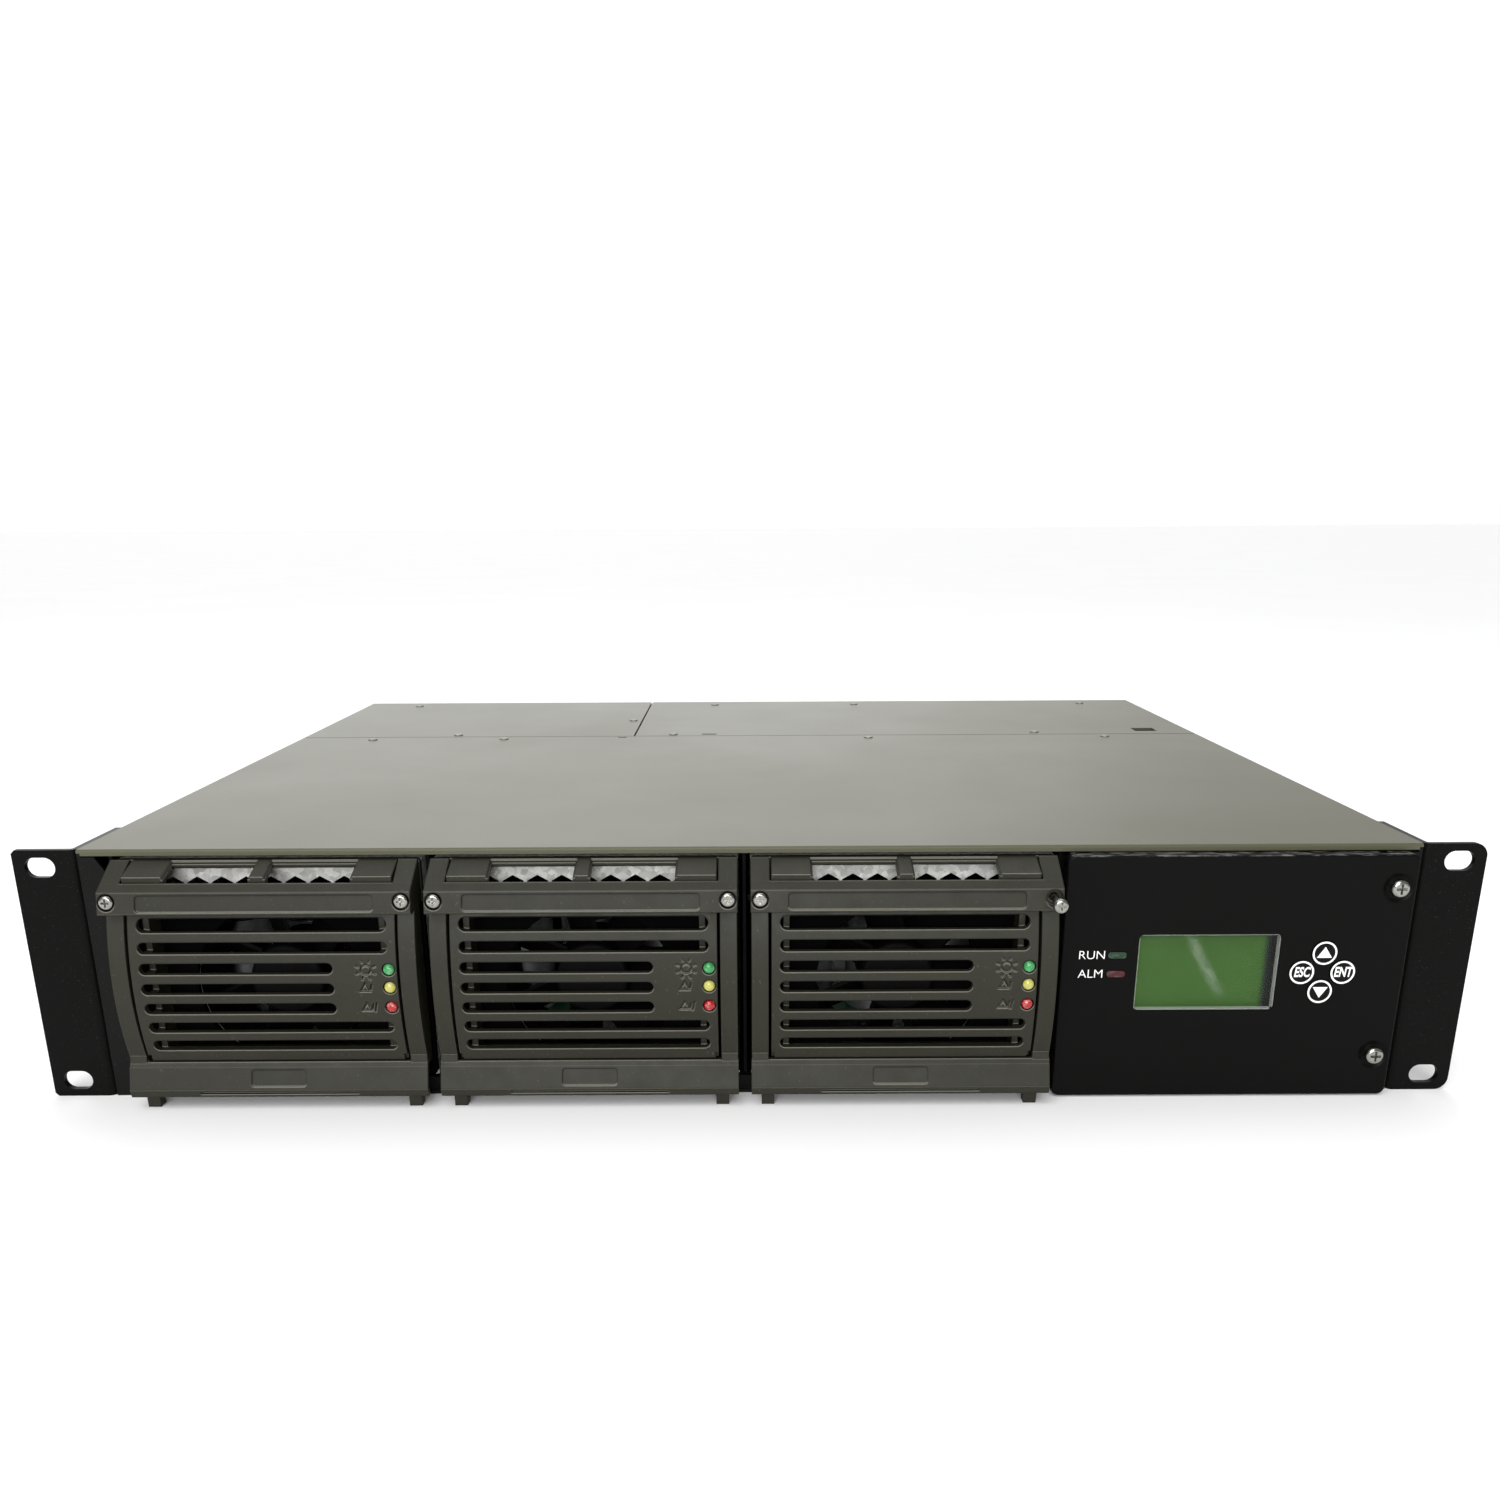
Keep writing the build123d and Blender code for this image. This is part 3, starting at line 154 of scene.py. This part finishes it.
def powder_coat(name, colour, shade, roughness, grain=0.02 * MM, specular=0.5, edge=0.3 * MM):
    """Fine-grained powder coat: two close tones, faint dust, and an orange-peel surface."""
    g = Graph(name)
    cloud = g.noise(6, 3)
    speck = g.remap(g.noise(2600, 1), 0.72, 0.80)
    tone = g.blend(g.remap(cloud, 0.2, 0.8), colour, shade)
    dusty = g.blend(g.math("MULTIPLY", speck, 0.12), tone, (0.5, 0.5, 0.47))
    peel = g.math("ADD", g.noise(1500, 2), g.math("MULTIPLY", g.noise(420, 2), 0.6))
    g.relief(peel, grain, 1.0, edge)
    rough = g.remap(g.noise(12, 4), 0.25, 0.75, roughness - 0.02, roughness + 0.03)
    return g.surface(base_color=dusty, roughness=rough, specular_ior_level=specular)


def door_paint(name, colour, shade, roughness, specular):
    """Powder coat of the door, drawn in slightly round its screws and paler in broken patches along its top
    edge.
    """
    g = Graph(name)
    across, along, height = g.axes()
    low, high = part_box("control_door")
    # Paler in broken patches along the top edge
    pale_top_edge = g.math("MULTIPLY", g.remap(height, high.z - 0.35 * MM, high.z - 0.2 * MM),
                    g.remap(g.noise(500, 5, 0.7, g.stretched((0.3, 1, 1))), 0.46, 0.62))
    tone = g.blend(g.remap(g.noise(6, 3), 0.2, 0.8), colour, shade)
    tone = g.blend(g.math("MULTIPLY", pale_top_edge, 0.8), tone, (0.16, 0.16, 0.155))
    dimples = []
    for node in ("door_screw_top", "door_screw_bottom"):
        screw_low, screw_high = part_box(node)
        centre = (screw_low + screw_high) / 2
        offset = g.add("ShaderNodeVectorMath", {0: g.place, 1: (centre.x, 0, centre.z)},
                       operation="SUBTRACT")
        flat = g.add("ShaderNodeVectorMath", {0: offset.outputs[0], 1: (1, 0, 1)}, operation="MULTIPLY")
        reach = g.add("ShaderNodeVectorMath", {0: flat.outputs[0]}, operation="LENGTH").outputs["Value"]
        dimples.append(g.remap(reach, 3.6 * MM, 5.4 * MM, 1.0, 0.0, True))
    peel = g.math("ADD", g.noise(1500, 2), g.math("MULTIPLY", g.noise(420, 2), 0.6))
    height_field = g.math("SUBTRACT", g.math("MULTIPLY", peel, 0.02), g.math("ADD", *dimples))
    g.relief(height_field, 0.7 * MM, 1.0, 0.4 * MM)
    rough = g.remap(g.noise(12, 4), 0.25, 0.75, roughness - 0.02, roughness + 0.03)
    return g.surface(base_color=tone, roughness=rough, specular_ior_level=specular)


def moulded_plastic(name, colour, shade, roughness=0.46):
    """Spark-eroded moulding: fine even texture, slight mottling, a little lint; painted highlight on corners
    that look up, painted shade on corners that look down and in the duct.
    """
    g = Graph(name)
    mottle = g.remap(g.noise(60, 5), 0.3, 0.7)
    tone = g.blend(mottle, colour, shade)
    lint = g.remap(g.noise(1900, 1, 0.4, g.stretched((1, 1, 0.35))), 0.71, 0.8)
    tone = g.blend(g.math("MULTIPLY", lint, 0.1), tone, (0.35, 0.34, 0.30))
    # Painted highlight on corners that look up, painted shade on corners that look down
    upper, painted_shade = g.corners(0.7 * MM)
    tone = g.blend(g.math("MULTIPLY", upper, 0.85), tone, (0.20, 0.195, 0.16))
    tone = g.blend(g.math("MULTIPLY", painted_shade, 0.75), tone, (0.003, 0.003, 0.002))
    grain = g.math("ADD", g.noise(3200, 2), g.math("MULTIPLY", g.noise(900, 2), 0.4))
    g.relief(grain, 0.02 * MM, 0.8, 0.5 * MM)
    rough = g.remap(g.noise(150, 3), 0.3, 0.7, roughness - 0.06, roughness + 0.08)
    # Painted shade: the duct behind the louvres is coloured near black with little gloss, standing in for the
    # shadow inside it
    low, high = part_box("front_grille_1")
    duct_shade = g.math("MULTIPLY", g.remap(g.axes()["Y"], high.y - 2.6 * MM, high.y - 2.4 * MM),
                    g.remap(g.axes()["Z"], high.z - 14.6 * MM, high.z - 14.3 * MM, 1.0, 0.0))
    tone = g.blend(duct_shade, tone, (0.0012, 0.0012, 0.0012))
    return g.surface(base_color=tone, roughness=rough,
                     specular_ior_level=g.remap(duct_shade, 0.0, 1.0, 0.24, 0.02))


def galvanised_steel(name):
    """Hot-dip zinc: flat crystals a few millimetres across, each with its own grey and gloss."""
    g = Graph(name)
    warp = g.add("ShaderNodeTexNoise", {"Vector": g.place, "Scale": 420.0, "Detail": 3.0})
    shift = g.add("ShaderNodeVectorMath", {0: warp.outputs["Color"], 1: (0.5, 0.5, 0.5)},
                  operation="SUBTRACT")
    shift = g.add("ShaderNodeVectorMath", {0: shift.outputs[0], "Scale": 2.4 * MM}, operation="SCALE")
    place = g.add("ShaderNodeVectorMath", {0: g.place, 1: shift.outputs[0]}, operation="ADD").outputs[0]
    cells = g.add("ShaderNodeTexVoronoi", {"Vector": place, "Scale": 520.0, "Randomness": 1.0})
    grey = g.add("ShaderNodeSeparateColor", {"Color": cells.outputs["Color"]}).outputs
    fine = g.noise(1800, 4)
    value = g.math("ADD", g.math("MULTIPLY", grey[0], 0.75), g.math("MULTIPLY", fine, 0.35))
    tone = g.blend(g.remap(value, 0.1, 0.95), (0.44, 0.445, 0.42), (0.86, 0.86, 0.825))
    rough = g.remap(grey[1], 0.0, 1.0, 0.32, 0.6)
    g.relief(g.math("ADD", grey[2], g.math("MULTIPLY", fine, 0.5)), 0.02 * MM, 0.6, 0.15 * MM)
    return g.surface(base_color=tone, roughness=rough, metallic=0.3)


def turned_metal(name, colour, roughness=0.24, rings=0.0, edge=0.12 * MM, recess_shade=0.0):
    """Plated or machined metal with fine scratches; rings gives a thread's pitch along Y; the last argument
    gives the radius of painted shade in corners that look down.
    """
    g = Graph(name)
    scratch = g.noise(900, 4, 0.7, g.stretched((1, 3, 1)))
    tone = g.blend(g.remap(scratch, 0.3, 0.7), colour, tuple(0.72 * part for part in colour))
    height = scratch
    if recess_shade:
        # Painted shade: darkens corners that look down, such as the recess of a screw head
        painted_shade = g.corners(recess_shade)[1]
        tone = g.blend(g.math("MULTIPLY", painted_shade, 0.85), tone, (0.02, 0.02, 0.018))
    if rings:
        wave = g.math("SINE", g.math("MULTIPLY", g.axes()["Y"], 2 * math.pi / rings))
        height = g.math("ADD", g.math("MULTIPLY", wave, 6.0), scratch)
    g.relief(height, 0.03 * MM, 0.8, edge)
    rough = g.remap(scratch, 0.2, 0.8, roughness - 0.08, roughness + 0.16)
    return g.surface(base_color=tone, roughness=rough, metallic=1.0)


def circuit_board(name, parts_depth=0.0, relay_left=0.0):
    """Green solder resist over copper tracks. Parts behind parts_depth are black, the relay blue."""
    g = Graph(name)
    tracks = g.add("ShaderNodeTexBrick", {"Vector": g.place, "Scale": 120.0, "Mortar Size": 0.035,
                                          "Color1": (0.9, 0.9, 0.9), "Color2": (0.6, 0.6, 0.6),
                                          "Mortar": (0.0, 0.0, 0.0)}).outputs["Color"]
    layer = g.remap(g.noise(70, 2), 0.45, 0.55)
    tone = g.blend(g.math("MULTIPLY", layer, 0.7), (0.006, 0.055, 0.022), (0.02, 0.13, 0.05))
    tone = g.blend(g.remap(tracks, 0.0, 0.3, 0.45, 0.0), tone, (0.03, 0.2, 0.08))
    if parts_depth:
        parts = g.remap(g.axes()["Y"], parts_depth, parts_depth + 0.05 * MM)
        relay = g.remap(g.axes()["X"], relay_left, relay_left + 0.05 * MM)
        tone = g.blend(parts, tone, g.blend(relay, (0.009, 0.009, 0.010), (0.012, 0.035, 0.14)))
    g.relief(g.noise(2200, 2), 0.01 * MM, 0.5, 0.1 * MM)
    return g.surface(base_color=tone, roughness=g.remap(g.noise(300, 3), 0.3, 0.7, 0.25, 0.42))


def converter_parts(name):
    """Power board by height: green laminate, bare aluminium fins, dark wound and can parts."""
    g = Graph(name)
    low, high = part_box("power_board_1")
    height = g.axes()["Z"]
    laminate = g.between(height, low.z + 6.2 * MM, low.z + 8.2 * MM)
    grain = g.noise(1200, 3, 0.6, g.stretched((1, 0.1, 1)))
    metal = g.blend(grain, (0.42, 0.43, 0.44), (0.66, 0.67, 0.68))
    tone = g.blend(laminate, metal, (0.012, 0.09, 0.035))
    g.relief(grain, 0.02 * MM, 0.6, 0.1 * MM)
    return g.surface(base_color=tone, roughness=g.remap(laminate, 0, 1, 0.42, 0.3),
                     metallic=g.remap(laminate, 0, 1, 0.85, 0.0))


def lamp_lenses(name):
    """Tinted lamp domes, green above yellow above red, on a dark carrier."""
    g = Graph(name)
    low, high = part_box("status_leds_1")
    across, along, height = g.axes()
    green_floor = high.z - 7.25 * MM
    red_ceiling = low.z + 7.25 * MM
    tone = g.blend(g.remap(height, red_ceiling - STEP, red_ceiling + STEP),
                   (0.33, 0.006, 0.010), (0.42, 0.40, 0.08))
    tone = g.blend(g.remap(height, green_floor - STEP, green_floor + STEP), tone, (0.025, 0.24, 0.065))
    glint = g.remap(g.noise(700, 2), 0.5, 0.8, 0.0, 0.3)
    tone = g.blend(glint, tone, (0.7, 0.75, 0.65))
    body = g.remap(along, low.y + 3.6 * MM, low.y + 4.0 * MM)
    tone = g.blend(body, tone, (0.01, 0.01, 0.01))
    g.relief(g.noise(500, 2), 0.05 * MM, 0.5)
    return g.surface(base_color=tone, roughness=g.remap(body, 0, 1, 0.12, 0.6), coat_weight=0.3,
                     coat_roughness=0.04, subsurface_weight=0.25, subsurface_radius=(0.6 * MM,) * 3,
                     subsurface_scale=1.0)


def liquid_crystal(name):
    """Green field with a faint painted glow and painted shadow towards its right and top margins, in a black
    frame.
    """
    g = Graph(name)
    low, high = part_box("display_module")
    pane_low, pane_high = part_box("display_window")
    across, along, height = g.axes()
    # Painted shadow: the field darkens towards its right and top margins
    right = g.remap(across, pane_high.x - 6.4 * MM, pane_high.x - 3.4 * MM, 0.0, 1.0, True)
    top = g.remap(height, pane_high.z - 4.6 * MM, pane_high.z - 1.6 * MM, 0.0, 0.8, True)
    margin_shade = g.math("MAXIMUM", right, top)
    cloud = g.remap(g.noise(45, 3), 0.3, 0.7)
    field = g.blend(cloud, (0.024, 0.066, 0.010), (0.028, 0.076, 0.012))
    tone = g.blend(margin_shade, field, (0.008, 0.012, 0.010))
    frame_part = g.remap(along, low.y + 1.2 * MM, low.y + 1.5 * MM)
    tone = g.blend(frame_part, tone, (0.006, 0.006, 0.006))
    g.relief(g.noise(1200, 2), 0.01 * MM, 0.4)
    # Painted glow: a faint emission that brightens the field
    return g.surface(base_color=tone, roughness=g.remap(cloud, 0, 1, 0.5, 0.6), emission_color=tone,
                     emission_strength=0.2, specular_ior_level=0.1)


def clear_acrylic(name):
    """Clear pane with a wiped diagonal smear and a few scratches."""
    g = Graph(name)
    low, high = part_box("display_window")
    across, along, height = g.axes()
    lean = g.math("ADD", across, g.math("MULTIPLY", height, 0.55))
    lean = g.math("ADD", lean, g.math("MULTIPLY", g.noise(90, 3), 3.4 * MM))
    middle = (low.x + high.x) / 2 + 0.55 * (low.z + high.z) / 2 + 2.0 * MM
    streak = g.between(lean, middle - 1.3 * MM, middle + 1.9 * MM, 1.0 * MM)
    reach = g.between(height, low.z + 8 * MM, high.z - 2 * MM, 3 * MM)
    smear = g.math("MULTIPLY", g.math("MULTIPLY", streak, reach), g.remap(g.noise(500, 3), 0.3, 0.65))
    scratch = g.remap(g.noise(1500, 2, 0.5, g.stretched((1, 1, 0.12))), 0.72, 0.8)
    haze = g.math("MAXIMUM", g.math("MULTIPLY", smear, 0.07), g.math("MULTIPLY", scratch, 0.15))
    # Painted highlight: a pale band along the cut edge of the pane, paler than the field behind it
    rim = 1.9 * MM
    inside = g.math("MULTIPLY", g.between(across, low.x + rim, high.x - rim),
                    g.between(height, low.z + rim, high.z - rim))
    edge = g.remap(inside, 0.0, 1.0, 0.3, 0.0)
    alpha = g.math("ADD", g.math("MAXIMUM", haze, edge), 0.006)
    g.relief(scratch, 0.01 * MM, 0.3)
    return g.surface(base_color=g.blend(edge, (0.82, 0.86, 0.80), (0.09, 0.10, 0.09)),
                     roughness=g.remap(haze, 0, 0.3, 0.08, 0.4), alpha=alpha, specular_ior_level=0.2)


def light_pipes(name):
    """Unlit light pipes: dark green above, dark red below, with a paler lengthwise glint."""
    g = Graph(name)
    low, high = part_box("panel_indicators")
    across, along, height = g.axes()
    split = (low.z + high.z) / 2
    tone = g.blend(g.remap(height, split - STEP, split + STEP), (0.05, 0.006, 0.008), (0.006, 0.028, 0.013))
    glint = g.remap(g.noise(900, 3, 0.6, g.stretched((0.4, 1, 1))), 0.5, 0.75, 0.0, 0.3)
    tone = g.blend(glint, tone, (0.12, 0.15, 0.12))
    g.relief(g.noise(900, 2), 0.02 * MM, 0.5, 0.2 * MM)
    return g.surface(base_color=tone, roughness=g.remap(glint, 0, 0.3, 0.2, 0.35), specular_ior_level=0.3)


def printed_ink(name, colour):
    """Screen-printed ink with slightly uneven cover."""
    g = Graph(name)
    cover = g.remap(g.noise(1400, 3), 0.3, 0.7)
    tone = g.blend(cover, tuple(0.86 * part for part in colour), colour)
    g.relief(g.noise(2500, 2), 0.01 * MM, 0.5)
    return g.surface(base_color=tone, roughness=g.remap(cover, 0, 1, 0.5, 0.62))


def bare_plastic(name, colour, roughness=0.4, specular=0.4):
    """Plain moulded plastic with a faint texture."""
    g = Graph(name)
    mottle = g.noise(200, 3)
    tone = g.blend(g.remap(mottle, 0.3, 0.7), colour, tuple(0.82 * part for part in colour))
    g.relief(g.noise(2600, 2), 0.02 * MM, 0.7, 0.25 * MM)
    return g.surface(base_color=tone, roughness=g.remap(mottle, 0.2, 0.8, roughness - 0.06, roughness + 0.08),
                     specular_ior_level=specular)


BLACK = (0.0022, 0.0024, 0.0021)
BLACK_SHADE = (0.0028, 0.003, 0.0027)
materials = {
    "cover_paint": powder_coat("cover_paint", (0.078, 0.077, 0.047), (0.072, 0.071, 0.043), 0.38,
                               specular=0.25),
    "black_paint": powder_coat("black_paint", BLACK, BLACK_SHADE, 0.34, specular=0.06),
    "chassis_paint": powder_coat("chassis_paint", (0.003, 0.0032, 0.0029), (0.004, 0.0042, 0.0038), 0.42,
                                 specular=0.1),
    "galvanised": galvanised_steel("galvanised"),
    "dark_plastic": moulded_plastic("dark_plastic", (0.0190, 0.0186, 0.0118), (0.0160, 0.0156, 0.0098)),
    "screw_steel": turned_metal("screw_steel", (0.36, 0.36, 0.33), 0.17, recess_shade=0.4 * MM),
    "pin_steel": turned_metal("pin_steel", (0.62, 0.62, 0.62), 0.32),
    "lamp": lamp_lenses("lamp"),
    "fan_plastic": bare_plastic("fan_plastic", (0.003, 0.003, 0.003), 0.6, 0.08),
    "electronics": converter_parts("electronics"),
    "board": circuit_board("board"),
    "copper": turned_metal("copper", (0.80, 0.46, 0.30), 0.34),
    "insulator": bare_plastic("insulator", (0.012, 0.012, 0.012), 0.42),
    "breaker_plastic": bare_plastic("breaker_plastic", (0.52, 0.52, 0.49), 0.45),
    "lever_plastic": bare_plastic("lever_plastic", (0.010, 0.010, 0.011), 0.35),
    "clear_pane": clear_acrylic("clear_pane"),
    "lcd": liquid_crystal("lcd"),
    "key_plastic": bare_plastic("key_plastic", (0.003, 0.003, 0.003), 0.38, 0.1),
    "light_pipe": light_pipes("light_pipe"),
}
threaded_steel = turned_metal("threaded_steel", (0.74, 0.73, 0.68), 0.3, rings=1.25 * MM)
door_coat = door_paint("door_coat", BLACK, BLACK_SHADE, 0.34, 0.06)
board_low, board_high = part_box("controller_board")
laminate_back = board_high.y - 12.35 * MM
relay_left = board_low.x + 63.8 * MM
fitted_board = circuit_board("fitted_board", laminate_back, relay_left)
dull_steel = turned_metal("dull_steel", (0.30, 0.30, 0.27), 0.5)
white_ink = printed_ink("white_ink", (0.86, 0.87, 0.86))

for entry in frame["record"]["subparts"]:
    surface = frame["nodes"][entry["node"]].data.materials
    surface.clear()
    surface.append(materials[entry["material_slot"]])
frame["nodes"]["terminal_hardware"].data.materials[0] = threaded_steel
frame["nodes"]["control_door"].data.materials[0] = door_coat
frame["nodes"]["controller_board"].data.materials[0] = fitted_board
frame["nodes"]["cover_screws"].data.materials[0] = dull_steel


# ---------------------------------------------------------------- pieces made here


def place_piece(name, mesh, body, material):
    """Puts a finished mesh into the scene, riding on a CAD body."""
    obj = bpy.data.objects.new(name, mesh)
    bpy.context.scene.collection.objects.link(obj)
    mesh.materials.clear()
    mesh.materials.append(material)
    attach(obj, body)
    return obj


def front_sheet(name, outlines, y, thickness, body, material):
    """Flat pieces seen from the front: closed (x, z) outlines, pushed forward from depth y."""
    mesh = bpy.data.meshes.new(name)
    work = bmesh.new()
    for outline in outlines:
        corners = [work.verts.new((x, y, z)) for x, z in outline]
        work.faces.new(corners)
    grown = bmesh.ops.extrude_face_region(work, geom=work.faces[:])
    moved = [part for part in grown["geom"] if isinstance(part, bmesh.types.BMVert)]
    bmesh.ops.translate(work, verts=moved, vec=(0, -thickness, 0))
    bmesh.ops.recalc_face_normals(work, faces=work.faces[:])
    work.to_mesh(mesh)
    work.free()
    return place_piece(name, mesh, body, material)


def arc(x, z, radius, start, end, steps):
    """Points along an arc, angles in degrees from +X towards +Z."""
    turn = [math.radians(start + (end - start) * step / steps) for step in range(steps + 1)]
    return [(x + radius * math.cos(angle), z + radius * math.sin(angle)) for angle in turn]


def ring_outlines(x, z, outer, inner, steps=24):
    """A ring as two half-ring outlines."""
    halves = []
    for start in (0, 180):
        there = arc(x, z, outer, start, start + 180, steps)
        back = arc(x, z, inner, start + 180, start, steps)
        halves.append(there + back)
    return halves


def lettering(name, words, x, y, z, height, stretch, body, weight=0.0, slant=0.0):
    """Printed capitals, centred on (x, z), facing -Y; weight thickens the strokes, slant leans them."""
    curve = bpy.data.curves.new(name, "FONT")
    curve.body = words
    curve.align_x = "CENTER"
    curve.align_y = "CENTER"
    curve.size = height / 0.69
    curve.extrude = 0.02 * MM
    curve.offset = weight
    curve.shear = slant
    curve.resolution_u = 6
    shape = bpy.data.objects.new(name + "_outline", curve)
    bpy.context.scene.collection.objects.link(shape)
    bpy.context.view_layer.update()
    mesh = bpy.data.meshes.new_from_object(shape.evaluated_get(bpy.context.evaluated_depsgraph_get()))
    bpy.data.objects.remove(shape)
    turn = Matrix.Rotation(math.radians(90), 4, "X") @ Matrix.Diagonal((stretch, 1, 1, 1))
    mesh.transform(Matrix.Translation((x, y - LIFT, z)) @ turn)
    mesh.name = name
    return place_piece(name, mesh, body, white_ink)


def make_door_legends():
    """RUN and ALM beside the two light pipes."""
    door_low, door_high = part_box("control_door")
    low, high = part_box("panel_indicators")
    text_x = low.x - 5.3 * MM
    rows = {"run": high.z - 1.15 * MM, "alm": low.z + 1.15 * MM}
    for word, z in rows.items():
        lettering("legend_" + word, word.upper(), text_x, door_low.y, z, 2.9 * MM, 1.05,
                  "door", -0.04 * MM)


def make_key_legends():
    """White ring and symbol on each key cap."""
    up, down, left, right = "key_up", "key_down", "key_escape", "key_enter"
    for node in (up, down, left, right):
        low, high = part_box(node)
        x, z = (low.x + high.x) / 2, (low.z + high.z) / 2
        outer = 4.05 * MM
        body = node + "_cap"
        outlines = ring_outlines(x, z, outer, outer - 0.62 * MM)
        if node in (up, down):
            way = 1 if node == up else -1
            tip = z + way * 2.2 * MM
            base = z - way * 1.6 * MM
            outlines.append([(x - 2.5 * MM, base), (x + 2.5 * MM, base), (x, tip)])
        front_sheet(node + "_print", outlines, low.y, LIFT, body, white_ink)
    for node, word in ((left, "ESC"), (right, "ENT")):
        low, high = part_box(node)
        lettering(node + "_word", word, (low.x + high.x) / 2, low.y, (low.z + high.z) / 2, 3.3 * MM, 0.66,
                  node + "_cap", 0.13 * MM, 0.15)


make_door_legends()
make_key_legends()


# ---------------------------------------------------------------- camera, light and floor


def set_camera():
    """Camera a short way in front and above, looking down on the shelf."""
    data = bpy.data.cameras.new("camera")
    data.lens = 29.5
    data.sensor_width = 36
    data.shift_y = 0.10
    data.shift_x = -0.001
    data.clip_start = 0.01
    data.clip_end = 100
    camera = bpy.data.objects.new("camera", data)
    bpy.context.scene.collection.objects.link(camera)
    camera.location = (0.0005, -0.390, 0.146)
    down = math.radians(17.2)
    roll = math.radians(0.28)
    camera.rotation_mode = "QUATERNION"
    tilt = Matrix.Rotation(math.radians(90) - down, 3, "X")
    camera.rotation_quaternion = (tilt @ Matrix.Rotation(-roll, 3, "Z")).to_quaternion()
    bpy.context.scene.camera = camera


def area_light(name, place, target, width, height, power):
    data = bpy.data.lights.new(name, "AREA")
    data.shape = "RECTANGLE"
    data.size, data.size_y = width, height
    data.energy = power
    lamp = bpy.data.objects.new(name, data)
    bpy.context.scene.collection.objects.link(lamp)
    lamp.location = place
    lamp.rotation_mode = "QUATERNION"
    lamp.rotation_quaternion = (Vector(target) - Vector(place)).to_track_quat("-Z", "Y")


def light_studio():
    """Bright sweep behind, brightest on the left, dimmer room in front, soft sun and two soft boxes."""
    world = bpy.data.worlds.new("studio")
    bpy.context.scene.world = world
    world.use_nodes = True
    tree = world.node_tree
    backdrop = tree.nodes["Background"]
    place = tree.nodes.new("ShaderNodeTexCoord")
    split = tree.nodes.new("ShaderNodeSeparateXYZ")
    tree.links.new(place.outputs["Generated"], split.inputs[0])

    def ramp(socket, low, high, to_low, to_high):
        node = tree.nodes.new("ShaderNodeMapRange")
        node.interpolation_type = "SMOOTHSTEP"
        tree.links.new(socket, node.inputs["Value"])
        for key, value in (("From Min", low), ("From Max", high), ("To Min", to_low), ("To Max", to_high)):
            node.inputs[key].default_value = value
        return node.outputs[0]

    backdrop.inputs["Color"].default_value = (1, 1, 1, 1)
    behind = ramp(split.outputs["Y"], 0.40, 0.78, 0.0, 1.0)
    left = ramp(split.outputs["X"], 0.05, 0.42, 1.70, 0.71)
    both = tree.nodes.new("ShaderNodeMath")
    both.operation = "MULTIPLY_ADD"
    tree.links.new(behind, both.inputs[0])
    tree.links.new(left, both.inputs[1])
    both.inputs[2].default_value = 0.3
    tree.links.new(both.outputs[0], backdrop.inputs["Strength"])
    sun = bpy.data.lights.new("soft_sun", "SUN")
    sun.energy = 2.0
    sun.angle = math.radians(50)
    lamp = bpy.data.objects.new("soft_sun", sun)
    bpy.context.scene.collection.objects.link(lamp)
    lamp.rotation_mode = "QUATERNION"
    lamp.rotation_quaternion = Vector((0.25, 0.60, -0.76)).to_track_quat("-Z", "Y")
    area_light("front_box", (-0.15, -1.6, 0.50), (0, 0, 0), 1.4, 0.4, 18)
    area_light("ceiling_box", (-0.05, 0.35, 1.25), (0, 0.1, 0), 1.6, 0.7, 6)
    bpy.context.scene.view_settings.view_transform = "Standard"


def lay_floor():
    """Plain pale floor under the shelf."""
    g = Graph("floor")
    tone = g.blend(g.remap(g.noise(3, 3), 0.3, 0.7), (0.94, 0.94, 0.94), (0.96, 0.96, 0.96))
    g.relief(g.noise(300, 3), 0.05 * MM, 0.3)
    g.surface(base_color=tone, roughness=0.8, specular_ior_level=0.2)
    mesh = bpy.data.meshes.new("floor")
    half = 30.0
    level = cad_bounds[0][2]
    work = bmesh.new()
    square = ((-half, -half), (half, -half), (half, half), (-half, half))
    work.faces.new([work.verts.new((x, y, level)) for x, y in square])
    work.to_mesh(mesh)
    work.free()
    mesh.materials.append(g.material)
    floor = bpy.data.objects.new("floor", mesh)
    bpy.context.scene.collection.objects.link(floor)


set_camera()
light_studio()
lay_floor()
